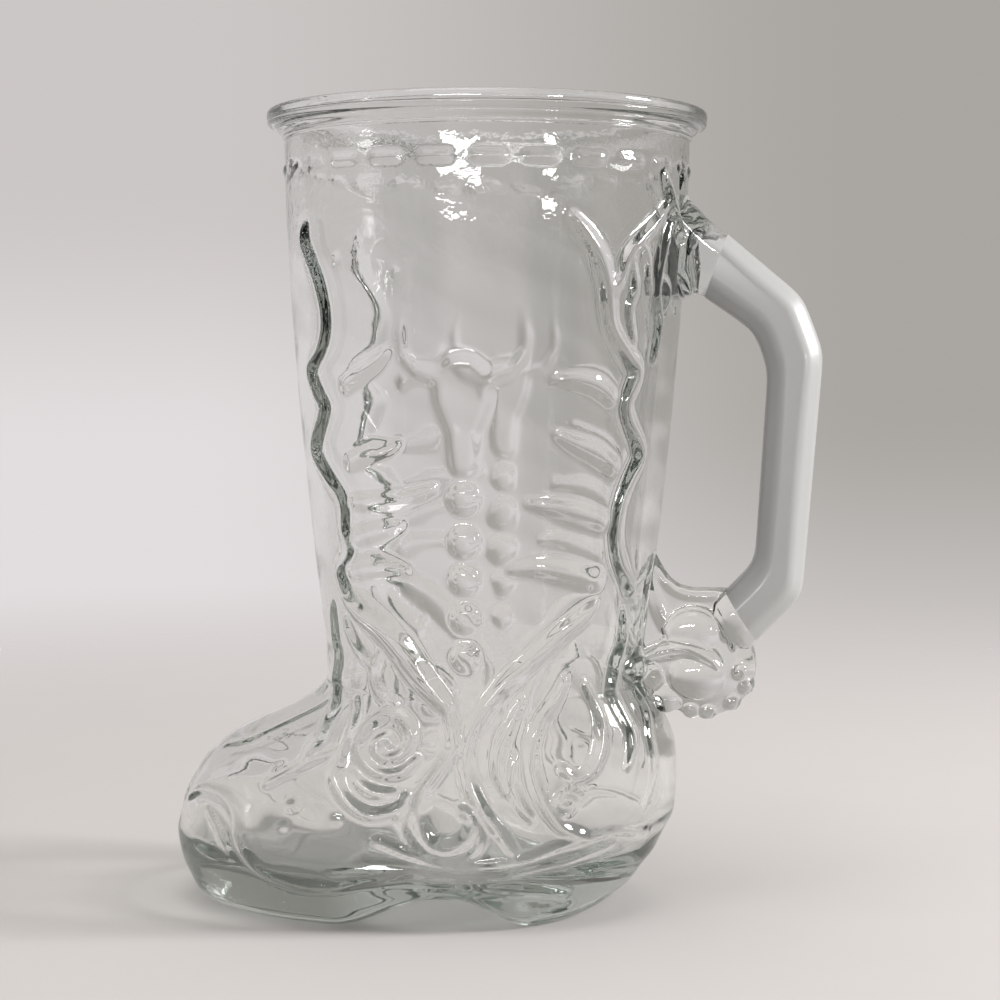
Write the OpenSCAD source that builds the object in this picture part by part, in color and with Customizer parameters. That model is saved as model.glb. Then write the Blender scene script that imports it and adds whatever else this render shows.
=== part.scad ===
// Boot-shaped pressed glass mug: a round tapered leg, a hollow foot, a rolled lip,
// a faceted handle that ends on a spur, and raised ornament on both sides.
// The toe points along -X, the handle along +X, and +Z is up. Both sides are alike.

/* [Leg] */
// Height from the table to the lip
boot_h = 156; // [140:1:180]
// Outer diameter of the leg just under the collar
leg_top_d = 79.2; // [70:0.2:90]
// Outer diameter of the leg at its waist
leg_waist_d = 63.2; // [58:0.2:66]
// Height of the waist, below which the leg is straight
waist_z = 52; // [48:1:60]
// Height where the leg meets the foot
ankle_z = 45; // [42:0.5:47]
// How strongly the leg's outline bows
leg_bow = 1.6; // [1:0.1:2.4]
// Thickness of the leg's glass
leg_wall_t = 3.2; // [2:0.1:4]

/* [Lip] */
// Outer diameter of the rolled bead
bead_d = 86; // [82:0.2:96]
// Height of the rolled bead
bead_h = 3.4; // [2.6:0.1:5]
// Inner diameter of the mouth
mouth_d = 74.4; // [64:0.2:76]
// Outer diameter of the step under the bead
collar_d = 82.4; // [80:0.2:92]
// Height of the step under the bead
collar_h = 2.2; // [1.4:0.1:4]

/* [Foot] */
// From the leg's axis to the tip of the toe
toe_reach = 61.5; // [56:0.5:70]
// From the leg's axis to the back of the heel
heel_reach = 38.2; // [35:0.5:41]
// Width of the foot beside the leg's axis
foot_w = 61; // [54:0.5:66]
// How far each side swells at the ball of the foot
ball_swell = 2.6; // [0:0.1:3]
// Thickness of the foot's side glass
foot_wall_t = 3; // [2:0.1:4]
// Height of the sole and heel pads under the foot
pad_h = 6; // [4:0.1:7]
// Thickness of the glass floor above the pads
floor_t = 3; // [2.4:0.1:4]
// How far the toe is drawn in at the table
toe_tuck = 11; // [8:0.5:14]
// How far the heel is drawn in at the table
heel_tuck = 17; // [12:0.5:18]
// How far each side is drawn in at the table
side_tuck = 9; // [6:0.5:11]
// From the leg's axis to the back edge of the sole's flat
sole_flat_x = 26; // [20:0.5:32]
// From the leg's axis to where the sole's slope meets the floor
sole_end_x = 8; // [5:0.5:14]
// From the leg's axis to the front face of the heel pad
heel_front_x = 2; // [1:0.5:4]
// How far the welt stands proud of the foot
welt_raise = 0.9; // [0.5:0.1:1.4]

/* [Handle] */
// From the leg's axis to the outer face of the handle
handle_reach = 65.5; // [60:0.5:72]
// Width of the handle across its flat sides
handle_w = 12.5; // [9:0.5:16]
// Thickness of the grip bar, front to back
grip_t = 10; // [7:0.5:12]
// Flat cut off each long edge of the handle
handle_bevel = 3; // [1:0.1:3.2]
// From the rim's top down to the handle's outer upper corner
handle_top_drop = 46; // [42:1:52]
// Height of the handle's outer lower corner
handle_low_z = 62; // [60:0.5:68]
// How far the grip leans in from its upper to its lower corner
grip_lean = 2.8; // [0:0.1:4]
// From the rim's top down to the upper root's centre on the leg
root_drop = 28.5; // [24:0.5:34]
// Height of the upper root at the leg
root_h = 19; // [14:0.5:22]
// How far the upper root stands out of the leg's skin
root_reach = 6.2; // [4.2:0.1:9.2]

/* [Spur] */
// From the rowel's centre to the handle's lower end
foot_reach = 12.6; // [12.2:0.1:14]
// Length of the collar between the rowel and the handle
spur_collar_l = 3.6; // [2.6:0.1:5]
// How far the collar stands out around the handle
spur_collar_raise = 0.7; // [0.2:0.1:1.5]
// From the leg's axis to the centre of the rowel
rowel_x = 43.2; // [42:0.2:45]
// Height of the rowel's centre
rowel_z = 48.4; // [47:0.2:50]
// Diameter across the roots of the rowel's lobes
rowel_d = 19; // [17:0.2:20]
// Diameter of one lobe on the rowel's edge
lobe_d = 4; // [3:0.1:5]
// Number of lobes around the rowel
lobe_count = 12; // [8:1:16]
// Thickness of the rowel
rowel_t = 9; // [6:0.5:12]
// Thickness of the shank above the rowel
shank_t = 8; // [5:0.5:9]
// Height of the finger gap's lowest point above the rowel's centre
shank_rise = 13.8; // [12.6:0.1:16]
// Diameter of the button on each side of the rowel
button_d = 9.6; // [6:0.2:12]
// How far the button stands out of the rowel
button_raise = 1.8; // [1:0.1:3]
// Height of the strap that runs forward from the rowel
strap_h = 5.2; // [3:0.1:6]
// How far the strap stands out of the leg
strap_raise = 1.2; // [0.6:0.1:2]
// Half of the angle that the strap wraps around the back of the leg
strap_angle = 66; // [50:1:80]

/* [Ornament] */
// How far the raised ornament stands out of the leg
relief = 0.9; // [0.4:0.1:1.6]
// Number of stitches around the top
stitch_count = 26; // [20:1:32]
// Length of one stitch
stitch_l = 6.6; // [4:0.1:7]
// Height of one stitch
stitch_h = 2.2; // [1.4:0.1:3]
// From the lip down to the row of stitches
stitch_drop = 11.2; // [8:0.1:14]
// Diameter of one stud
stud_d = 6; // [3:0.1:7]
// Spacing of the studs
stud_pitch = 7.3; // [7.2:0.1:8]
// Number of studs on each side
stud_count = 4; // [1:1:4]
// Height of the topmost stud
stud_top_z = 82.4; // [78:0.2:84]
// Width of the steer's horns
skull_w = 25; // [18:0.5:28]
// Height of the steer's skull, horns included
skull_h = 31; // [24:0.5:32]
// Height of the skull's muzzle above the table
skull_z = 87; // [86.5:0.5:92]
// Angle from the side's middle to each scalloped edge
scallop_angle = 55; // [52:1:58]
// From the rim's top down to the top of the scallops
scallop_drop = 19; // [17:0.5:24]
// Number of scallops on each edge
scallop_count = 5; // [3:1:6]
// Height where the scalloped edge starts
scallop_z = 62; // [60:0.5:66]
// Width of the scalloped edge
scallop_w = 3; // [2:0.1:4]
// How far each scallop swings
scallop_depth = 4.4; // [2:0.1:5]
// Number of leaves in each fringe
leaf_count = 4; // [2:1:5]
// Length of one leaf
leaf_l = 11; // [8:0.5:12]
// Height of one leaf
leaf_h = 4.6; // [3:0.1:6]
// Spacing of the leaves
leaf_pitch = 11.5; // [8:0.5:12]
// Height of the lowest leaf
leaf_z = 68; // [66:0.5:72]
// Angle from the side's middle to the fringe
leaf_angle = 36; // [34:1:38]
// Height of the point of the chevron
chevron_z = 49; // [48:0.5:52]
// Height that each arm of the chevron climbs
chevron_rise = 15; // [10:0.5:18]
// How far each arm of the chevron reaches
chevron_reach = 23; // [18:0.5:25]
// Width of the chevron's arms
chevron_w = 3.4; // [2:0.1:4]

/* [Hidden] */
$fn = 96;

over = 1;
leg_x = (toe_reach - handle_reach) / 2;
leg_top_z = boot_h - bead_h - collar_h;
waist_r = leg_waist_d / 2;
floor_z = pad_h + floor_t;
stitch_z = boot_h - stitch_drop;
strap_z = (ankle_z + waist_z) / 2;
clear = "lightcyan";
frost = "whitesmoke";

// Outline of the leg
leg_steps = 10;
leg_levels = concat([ankle_z], [for (i = [0:leg_steps]) waist_z + (leg_top_z - waist_z) * i / leg_steps]);

function leg_r(z) = z <= waist_z ? waist_r
    : waist_r + (leg_top_d / 2 - waist_r) * (1 - pow(1 - (z - waist_z) / (leg_top_z - waist_z), leg_bow));
// Radius of the leg's faceted outline, which is straight between its levels
function skin_r(z) = lookup(z, [for (level = leg_levels) [level, leg_r(level)]]);
function leg_line(grow) = [for (z = leg_levels) [leg_r(z) + grow, z]];
function backwards(list) = [for (i = [len(list) - 1:-1:0]) list[i]];

// Rows of the foot, from the table up. In each row: the height, then shares of the toe's and
// the heel's bulge beyond the ankle, then shares of the toe, heel and side tuck.
sole_row_shares = [
    [0.00, 1, 1, 0.80, 1.00, 0.60],
    [0.20, 1, 1, 0.50, 0.84, 0.46],
    [0.50, 1, 1, 0.34, 0.68, 0.38],
    [1.00, 1, 1, 0.20, 0.50, 0.30]
];
heel_row_shares = [
    [0.00, 1, 1, 0.80, 1.00, 1.00],
    [0.20, 1, 1, 0.50, 0.84, 0.70],
    [0.50, 1, 1, 0.34, 0.68, 0.50],
    [1.00, 1, 1, 0.20, 0.50, 0.30]
];
floor_row_shares = [
    [0.00, 1, 1, 0.20, 0.50, 0.30],
    [0.50, 1, 1, 0.13, 0.43, 0.24],
    [1.00, 1, 1, 0.08, 0.36, 0.19]
];
shell_row_shares = [
    [0.000, 1.000, 1.00, 0.08, 0.36, 0.19],
    [0.075, 1.000, 1.00, 0.03, 0.25, 0.12],
    [0.150, 1.000, 1.00, 0.00, 0.17, 0.06],
    [0.195, 0.995, 1.00, 0.00, 0.12, 0.04],
    [0.290, 0.968, 1.00, 0.00, 0.03, 0.01],
    [0.390, 0.925, 1.00, 0.00, 0.00, 0.00],
    [0.480, 0.865, 1.00, 0.00, 0.00, 0.00],
    [0.560, 0.800, 0.99, 0.00, 0.00, 0.00],
    [0.630, 0.708, 0.95, 0.00, 0.00, 0.00],
    [0.690, 0.595, 0.88, 0.00, 0.00, 0.00],
    [0.745, 0.465, 0.78, 0.00, 0.00, 0.00],
    [0.800, 0.325, 0.64, 0.00, 0.00, 0.00],
    [0.855, 0.190, 0.46, 0.00, 0.00, 0.00],
    [0.910, 0.085, 0.27, 0.00, 0.00, 0.00],
    [0.960, 0.028, 0.10, 0.00, 0.00, 0.00],
    [1.000, 0.000, 0.00, 0.00, 0.00, 0.00]
];
welt_row = 2;
half_cols = 30;
toe_power = 2.7;

function row_toe(row) = waist_r + (toe_reach - waist_r) * row[1] - toe_tuck * row[3];
function row_heel(row) = waist_r + (heel_reach - waist_r) * row[2] - heel_tuck * row[4];
function row_side(row) = waist_r + (foot_w / 2 - waist_r) * row[2] - side_tuck * row[5];
function row_power(row) = 2 + (toe_power - 2) * row[1];

// A point of half a ring: side is -1 for the toe half and 1 for the heel half
function ring_point(reach, half, power, side, turn, z) =
    let (
        out = pow(sin(turn), 2 / power),
        longer = max(0, reach - waist_r) / (toe_reach - waist_r),
        swell = side < 0 ? ball_swell * longer * pow(sin(180 * out), 2) : 0
    )
    [side * reach * out, half * sign(cos(turn)) * pow(abs(cos(turn)), 2 / power) + swell * sign(cos(turn)), z];
function ring_side(row, side, z) =
    let (reach = side < 0 ? row_toe(row) : row_heel(row), power = side < 0 ? row_power(row) : 2)
    [for (j = [0:half_cols]) ring_point(reach, row_side(row), power, side, 180 * j / half_cols, z)];
function side_grid(rows, side, z0, z1) = [for (row = rows) ring_side(row, side, z0 + (z1 - z0) * row[0])];

// Outward normals of a grid, level with the X axis along the seam at the leg's middle
function unit(v) = v / norm(v);
function grid_normal(grid, side, i, j) =
    let (
        up = grid[min(i + 1, len(grid) - 1)][j] - grid[max(i - 1, 0)][j],
        along = j == 0 || j == half_cols ? [side * (j == 0 ? 1 : -1), 0, 0] : grid[i][j + 1] - grid[i][j - 1]
    )
    unit(cross(up, along)) * side;

// The same grid moved along its normals. The first and last rows stay in their planes.
function moved(grid, side, by) = [
    for (i = [0:len(grid) - 1]) [
        for (j = [0:half_cols])
            let (
                n = grid_normal(grid, side, i, j),
                flat = unit([n[0], n[1], 0]),
                edge = i == 0 || i == len(grid) - 1
            )
            grid[i][j] + by * (edge ? flat : n)
    ]
];

// A closed solid between two grids of the same size
function flat_list(lists) = [for (list = lists) for (item = list) item];
function quad(a, b, c, d, flip) = flip ? [[a, c, b], [a, d, c]] : [[a, b, c], [a, c, d]];
module between(outer, inner, flip) {
    rows = len(outer);
    cols = len(outer[0]);
    size = rows * cols;
    points = concat(flat_list(outer), flat_list(inner));
    skin = [for (i = [0:rows - 2]) for (j = [0:cols - 2])
        quad(i * cols + j, i * cols + j + 1, (i + 1) * cols + j + 1, (i + 1) * cols + j, flip)];
    lining = [for (i = [0:rows - 2]) for (j = [0:cols - 2])
        quad(size + i * cols + j, size + (i + 1) * cols + j, size + (i + 1) * cols + j + 1, size + i * cols + j + 1, flip)];
    low = [for (j = [0:cols - 2]) quad(j, size + j, size + j + 1, j + 1, flip)];
    last = (rows - 1) * cols;
    high = [for (j = [0:cols - 2]) quad(last + j, last + j + 1, size + last + j + 1, size + last + j, flip)];
    start = [for (i = [0:rows - 2]) quad(i * cols, (i + 1) * cols, size + (i + 1) * cols, size + i * cols, flip)];
    end = [for (i = [0:rows - 2])
        quad(i * cols + cols - 1, size + i * cols + cols - 1, size + (i + 1) * cols + cols - 1, (i + 1) * cols + cols - 1, flip)];
    polyhedron(points, flat_list(concat(skin, lining, low, high, start, end)));
}

// A closed solid from level rings of the same count, with flat ends
module stack(rings, flip) {
    count = len(rings[0]);
    walls = [for (i = [0:len(rings) - 2]) for (j = [0:count - 1])
        let (k = (j + 1) % count)
        quad(i * count + j, i * count + k, (i + 1) * count + k, (i + 1) * count + j, flip)];
    floor_face = [for (j = [0:count - 1]) j];
    roof_face = [for (j = [count - 1:-1:0]) (len(rings) - 1) * count + j];
    caps = flip ? [floor_face, roof_face] : [backwards(floor_face), backwards(roof_face)];
    polyhedron(flat_list(rings), concat(flat_list(walls), caps));
}

module at_leg() {
    translate([leg_x, 0, 0]) children();
}
module both_sides() {
    children();
    mirror([0, 1, 0]) children();
}
module leg_solid() {
    rotate_extrude() polygon(concat([[0, ankle_z]], leg_line(0), [[0, leg_top_z]]));
}
module leg_skin(raise) {
    rotate_extrude() polygon(concat(leg_line(0), backwards(leg_line(raise))));
}
// A flat outline in X and Z, carried outwards from the leg's axis and turned around it
module outward(turn) {
    rotate([0, 0, turn]) rotate([90, 0, 0]) linear_extrude(leg_top_d / 2 + over) children();
}
module on_leg(raise) {
    color(clear) at_leg() intersection() {
        leg_skin(raise);
        children();
    }
}

// Lip and leg
module rim_bead() {
    low_z = boot_h - bead_h;
    color(clear) at_leg() rotate_extrude() {
        translate([mouth_d / 2 + bead_h / 2, boot_h - bead_h / 2]) circle(d = bead_h);
        translate([bead_d / 2 - bead_h / 2, boot_h - bead_h / 2]) circle(d = bead_h);
        translate([mouth_d / 2 + bead_h / 2, low_z]) square([bead_d / 2 - mouth_d / 2 - bead_h, bead_h]);
        translate([mouth_d / 2, low_z]) square([bead_h / 2, bead_h / 2]);
    }
}
module rim_collar() {
    low_z = boot_h - bead_h - collar_h;
    color(clear) at_leg() rotate_extrude() polygon([
        [mouth_d / 2, boot_h - bead_h],
        [collar_d / 2, boot_h - bead_h],
        [collar_d / 2, low_z + collar_h / 2],
        [leg_top_d / 2, low_z],
        [leg_top_d / 2 - leg_wall_t, low_z]
    ]);
}
module leg_wall() {
    color(clear) at_leg() rotate_extrude()
        polygon(concat(leg_line(0), backwards(leg_line(-leg_wall_t))));
}
module top_stitching() {
    low_z = stitch_z - stitch_h / 2;
    high_z = stitch_z + stitch_h / 2;
    turn = stitch_l / leg_r(stitch_z) * 180 / PI;
    color(clear) at_leg() for (i = [0:stitch_count - 1])
        rotate([0, 0, 360 * (i + 1 / 2) / stitch_count - 90 - turn / 2]) rotate_extrude(angle = turn) polygon([
            [skin_r(low_z), low_z],
            [skin_r(low_z) + relief, low_z + relief / 2],
            [skin_r(high_z) + relief, high_z - relief / 2],
            [skin_r(high_z), high_z]
        ]);
}

// Foot
module foot_half(side) {
    grid = side_grid(shell_row_shares, side, floor_z, ankle_z);
    color(clear) at_leg() between(grid, moved(grid, side, -foot_wall_t), side < 0);
}
module vamp_shell() {
    foot_half(-1);
}
module counter_shell() {
    foot_half(1);
}
function whole_ring(row, z) = concat(ring_side(row, -1, z), [
    for (j = [half_cols - 1:-1:1]) ring_side(row, 1, z)[j]
]);
module foot_floor() {
    color(clear) at_leg() stack([for (row = floor_row_shares) whole_ring(row, pad_h + floor_t * row[0])], true);
}
// The part of a pad's ring that lies beyond a line across the foot
function pad_ring(row, side, cut) =
    let (
        reach = side < 0 ? row_toe(row) : row_heel(row),
        power = side < 0 ? row_power(row) : 2,
        from = asin(pow(cut / reach, power / 2))
    )
    [for (j = [0:half_cols])
        ring_point(reach, row_side(row), power, side, from + (180 - 2 * from) * j / half_cols, pad_h * row[0])];
module sole_pad() {
    color(clear) at_leg() stack([
        for (row = sole_row_shares) pad_ring(row, -1, sole_flat_x + (sole_end_x - sole_flat_x) * row[0])
    ], true);
}
module heel_pad() {
    color(clear) at_leg() stack([for (row = heel_row_shares) pad_ring(row, 1, heel_front_x)], false);
}
// One row of the foot's cells, raised, over the middle of each side
module welt() {
    span_shares = [0.62, 0.56];
    color(clear) at_leg() for (k = [0:1]) {
        side = 2 * k - 1;
        grid = side_grid(shell_row_shares, side, floor_z, ankle_z);
        proud = moved(grid, side, welt_raise);
        span = floor(half_cols / 2 * span_shares[k]);
        near = [for (i = [welt_row, welt_row + 1]) [for (j = [0:span]) grid[i][j]]];
        near_out = [for (i = [welt_row, welt_row + 1]) [for (j = [0:span]) proud[i][j]]];
        far = [for (i = [welt_row, welt_row + 1]) [for (j = [half_cols - span:half_cols]) grid[i][j]]];
        far_out = [for (i = [welt_row, welt_row + 1]) [for (j = [half_cols - span:half_cols]) proud[i][j]]];
        between(near_out, near, side < 0);
        between(far_out, far, side < 0);
    }
}

// Handle: bevelled bars between shared sections. A section holds its centre in X and Z, the
// slope of its long line, and the length of that line.
shoulder_shares = [0.78, 0.49];
root_z = boot_h - root_drop;
root_mid = [leg_r(root_z) + root_reach, root_z - root_h * 0.07];
top_mid = [handle_reach - grip_t / 2, boot_h - handle_top_drop - grip_t * 0.22];
low_mid = [handle_reach - grip_t / 2 - grip_lean, handle_low_z + grip_t * 0.34];
// Direction from the rowel's centre to the handle's lower corner
foot_turn = atan2(low_mid[1] - rowel_z, low_mid[0] - rowel_x);
foot_mid = [rowel_x, rowel_z] + foot_reach * [cos(foot_turn), sin(foot_turn)];
shoulder_mid = [
    root_mid[0] + (top_mid[0] - root_mid[0]) * shoulder_shares[0],
    top_mid[1] + (root_mid[1] - top_mid[1]) * shoulder_shares[1]
];
root_section = [root_mid, 70, root_h * 0.68];
shoulder_section = [shoulder_mid, 35, grip_t * 1.14];
top_section = [top_mid, 18, grip_t * 1.12];
low_section = [low_mid, foot_turn / 2 - 59, grip_t * 1.12];
foot_section = [foot_mid, foot_turn - 115, grip_t * 0.98];

// A bevelled rectangle across the handle
module section(place, wider = 0) {
    t = place[2] / 2 + wider;
    w = handle_w / 2 + wider;
    c = handle_bevel;
    translate([place[0][0], 0, place[0][1]]) rotate([0, -place[1], 0])
        linear_extrude(over / 1000, center = true)
            polygon([[t - c, w], [t, w - c], [t, c - w], [t - c, -w], [c - t, -w], [-t, c - w], [-t, w - c], [c - t, w]]);
}
module bar(a, b, wider = 0) {
    hull() {
        section(a, wider);
        section(b, wider);
    }
}
module handle_arm() {
    color(frost) at_leg() bar(root_section, shoulder_section);
}
module handle_shoulder() {
    color(frost) at_leg() bar(shoulder_section, top_section);
}
module handle_grip() {
    color(frost) at_leg() bar(top_section, low_section);
}
module handle_foot() {
    color(frost) at_leg() bar(low_section, foot_section);
}
module handle_root() {
    color(clear) at_leg() difference() {
        hull() {
            section(root_section);
            translate([leg_r(root_z) - leg_wall_t, 0, root_z]) cube([leg_wall_t, handle_w * 1.5, root_h], center = true);
        }
        leg_solid();
    }
}

// Spur. The rowel has no lobes under the collar, within a margin in degrees.
lobe_margin = 12;
module rowel_outline() {
    circle(d = rowel_d);
    for (i = [0:lobe_count - 1])
        if (abs(360 * i / lobe_count - foot_turn) > 180 / lobe_count + lobe_margin)
            rotate(360 * i / lobe_count) translate([rowel_d / 2, 0]) circle(d = lobe_d, $fn = 32);
}
module heel_half() {
    grid = side_grid(shell_row_shares, 1, floor_z, ankle_z);
    stack([for (ring = grid) ring], false);
}
inner_mid = foot_mid - spur_collar_l * [cos(foot_turn), sin(foot_turn)];
inner_section = [inner_mid, foot_section[1], foot_section[2]];
module spur_rowel() {
    color(clear) at_leg() difference() {
        translate([rowel_x, 0, rowel_z]) rotate([90, 0, 0]) linear_extrude(rowel_t, center = true) rowel_outline();
        leg_solid();
        translate([0, 0, strap_z - strap_h / 2]) cylinder(r = waist_r + strap_raise, h = strap_h);
        heel_half();
        bar(inner_section, foot_section, spur_collar_raise);
    }
}
// The web between the leg, the rowel and the collar, hollowed by the finger gap
module spur_shank() {
    top = [foot_mid[0] - foot_section[2] / 4, foot_mid[1] + foot_section[2] / 2];
    dip = rowel_z + shank_rise;
    rise_shares = [[0, 1.0], [0.12, 0.55], [0.3, 0.2], [0.5, 0.02], [0.7, 0], [1, 0]];
    color(clear) at_leg() difference() {
        rotate([90, 0, 0]) linear_extrude(shank_t, center = true) polygon(concat(
            [[rowel_x, rowel_z], [waist_r - leg_wall_t, rowel_z], [waist_r - leg_wall_t, dip + shank_rise / 2]],
            [for (p = rise_shares) [leg_r(dip) + (top[0] - leg_r(dip)) * p[0], dip + shank_rise / 2 * p[1]]]
        ));
        leg_solid();
        translate([rowel_x, 0, rowel_z]) rotate([90, 0, 0]) linear_extrude(rowel_t, center = true) rowel_outline();
        translate([0, 0, strap_z - strap_h / 2]) cylinder(r = waist_r + strap_raise, h = strap_h);
        heel_half();
        bar(inner_section, foot_section, spur_collar_raise);
    }
}
module spur_collar() {
    color(clear) at_leg() bar(inner_section, foot_section, spur_collar_raise);
}
module spur_buttons() {
    ball = (pow(button_d / 2, 2) + pow(button_raise, 2)) / (2 * button_raise);
    color(clear) at_leg() both_sides() translate([rowel_x, -rowel_t / 2, rowel_z]) rotate([90, 0, 0]) intersection() {
        translate([0, 0, button_raise - ball]) sphere(ball);
        cylinder(d = button_d + over, h = button_raise + over);
    }
}
module spur_strap() {
    color(clear) at_leg() rotate([0, 0, -strap_angle]) rotate_extrude(angle = 2 * strap_angle)
        translate([waist_r, strap_z - strap_h / 2]) square([strap_raise, strap_h]);
}

// Ornament on the leg
horn_shares = [[0.00, 0.68], [0.12, 0.68], [0.20, 0.64], [0.34, 0.68], [0.43, 0.76], [0.44, 1.00],
    [0.50, 0.84], [0.47, 0.68], [0.36, 0.58], [0.23, 0.54]];
face_shares = [[0.22, 0.44], [0.13, 0.26], [0.11, 0.06], [0.06, 0.00], [0.00, 0.00]];
half_skull = concat(horn_shares, face_shares);
module steer_skulls() {
    on_leg(relief) both_sides() outward(0) translate([0, skull_z]) {
        polygon([for (p = half_skull) [p[0] * skull_w, p[1] * skull_h]]);
        polygon([for (p = half_skull) [-p[0] * skull_w, p[1] * skull_h]]);
    }
}
module studs() {
    on_leg(relief) both_sides() outward(0) for (i = [0:stud_count - 1])
        translate([0, stud_top_z - i * stud_pitch]) circle(d = stud_d, $fn = 48);
}
arc_steps = 10;
// Height of one scallop
scallop_pitch = (boot_h - scallop_drop - scallop_z) / scallop_count;
function arc(deep, tall) = [for (i = [0:arc_steps])
    [deep * sin(180 * i / arc_steps), -tall / 2 * cos(180 * i / arc_steps)]];
module scallop_line() {
    for (i = [0:scallop_count - 1]) translate([0, scallop_z + (i + 1 / 2) * scallop_pitch]) polygon(concat(
        arc(scallop_depth, scallop_pitch),
        backwards(arc(scallop_depth - scallop_w / 2, scallop_pitch - scallop_w))
    ));
}
module scallops(toward) {
    on_leg(relief) both_sides() outward(toward * scallop_angle) scale([toward, 1]) scallop_line();
}
module front_scallops() {
    scallops(-1);
}
module back_scallops() {
    scallops(1);
}
leaf_shares = [[-0.50, 0.00], [-0.20, 0.34], [0.18, 0.50], [0.50, 0.42], [0.40, 0.10], [0.50, -0.30], [0.10, -0.42], [-0.26, -0.28]];
module fringe(toward) {
    on_leg(relief) both_sides() outward(toward * leaf_angle) for (i = [0:leaf_count - 1])
        translate([0, leaf_z + i * leaf_pitch])
            polygon([for (p = leaf_shares) [toward * p[0] * leaf_l, p[1] * leaf_h]]);
}
module front_fringe() {
    fringe(-1);
}
module back_fringe() {
    fringe(1);
}
module chevrons() {
    on_leg(relief) both_sides() outward(0) for (toward = [-1, 1]) polygon([
        [0, chevron_z - chevron_w / 2],
        [toward * chevron_reach, chevron_z + chevron_rise - chevron_w / 2],
        [toward * chevron_reach, chevron_z + chevron_rise + chevron_w / 2],
        [0, chevron_z + chevron_w / 2]
    ]);
}

rim_bead();
rim_collar();
leg_wall();
top_stitching();
vamp_shell();
counter_shell();
foot_floor();
sole_pad();
heel_pad();
welt();
handle_root();
handle_arm();
handle_shoulder();
handle_grip();
handle_foot();
spur_shank();
spur_collar();
spur_rowel();
spur_buttons();
spur_strap();
steer_skulls();
studs();
front_scallops();
back_scallops();
front_fringe();
back_fringe();
chevrons();
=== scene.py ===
"""A pressed-glass boot mug, its studio and its camera, laid out as an add-on."""

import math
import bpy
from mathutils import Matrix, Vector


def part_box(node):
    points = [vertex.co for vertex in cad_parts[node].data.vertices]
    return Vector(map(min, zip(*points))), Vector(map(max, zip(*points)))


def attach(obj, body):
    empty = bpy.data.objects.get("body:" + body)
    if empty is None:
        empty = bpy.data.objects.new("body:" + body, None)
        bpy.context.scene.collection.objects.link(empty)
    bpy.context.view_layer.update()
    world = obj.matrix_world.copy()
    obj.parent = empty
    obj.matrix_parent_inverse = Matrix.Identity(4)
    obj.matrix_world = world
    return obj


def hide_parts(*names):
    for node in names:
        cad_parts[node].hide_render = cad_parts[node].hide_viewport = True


bl_info = {
    "name": "Glass Boot Mug",
    "version": (1, 0, 0),
    "blender": (4, 5, 0),
    "location": "View3D > Sidebar > Glass Boot",
    "description": "Builds the looks of a pressed-glass boot mug on its packed frame",
    "category": "Object",
}

from types import SimpleNamespace

import bmesh
import bpy
import numpy as np
from bpy.props import FloatProperty, FloatVectorProperty, IntProperty, PointerProperty
from mathutils import Vector
from mathutils.bvhtree import BVHTree

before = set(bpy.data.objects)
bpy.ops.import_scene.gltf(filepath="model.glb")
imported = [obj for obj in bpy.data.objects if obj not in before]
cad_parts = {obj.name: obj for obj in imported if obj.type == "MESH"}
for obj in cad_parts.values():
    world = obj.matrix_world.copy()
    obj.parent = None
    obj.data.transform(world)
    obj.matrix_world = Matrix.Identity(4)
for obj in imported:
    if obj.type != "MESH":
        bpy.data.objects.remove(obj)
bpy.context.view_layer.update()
MM = 0.001


def cad_size(node, axis):
    """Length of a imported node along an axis, in metres."""
    low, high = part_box(node)
    return high[axis] - low[axis]


# The leg's axis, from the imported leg
LEG_X = (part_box("leg_wall")[0][0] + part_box("leg_wall")[1][0]) / 2 / MM


def length(name, description, default_mm, low_mm, high_mm):
    """A length property, from values in millimetres."""
    return FloatProperty(
        name=name, description=description, default=default_mm * MM,
        min=low_mm * MM, max=high_mm * MM, unit="LENGTH", subtype="DISTANCE", precision=4,
    )


def colour(name, description, default):
    """A colour property."""
    return FloatVectorProperty(
        name=name, description=description, default=default, size=3, min=0, max=1, subtype="COLOR"
    )


def lamp_power(name, description, default):
    """A property for a lamp's power."""
    return FloatProperty(name=name, description=description, default=default, min=0, max=100, unit="POWER")


class BootSizes(bpy.types.PropertyGroup):
    """Sizes of the boot's wall and relief."""

    leg_top_d: length("Leg top width", "Across the leg under the lip", cad_size("leg_wall", 0) / MM, 60, 100)
    leg_waist_d: length("Ankle width", "Across the narrowest part of the leg", 63.2, 50, 80)
    toe_reach: length("Toe reach", "From the leg's axis to the toe", 61.5, 45, 80)
    heel_reach: length("Heel reach", "From the leg's axis to the heel", 38.2, 32, 50)
    foot_w: length("Foot width", "Across the foot under the leg", 61, 50, 80)
    leg_wall_t: length("Leg wall", "Thickness of the leg's glass", 3.2, 1.5, 5)
    foot_wall_t: length("Foot wall", "Thickness of the foot's glass", 3.0, 1.5, 5)
    relief: length("Relief", "Height of the pressed ornament", 1.05, 0.2, 2)
    stitch_raise: length("Stitch height", "How far the lip's stitches stand out", 0.5, 0.2, 1.5)
    swirl: length("Glass swirl", "Depth of the slow waves in the pressed skin", 0.035, 0, 0.4)
    columns: IntProperty(name="Columns", description="Mesh columns in a quarter turn", default=104, min=40, max=200)
    stitch_count: IntProperty(name="Stitches", description="Stitches round the lip", default=26, min=8, max=40)


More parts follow.
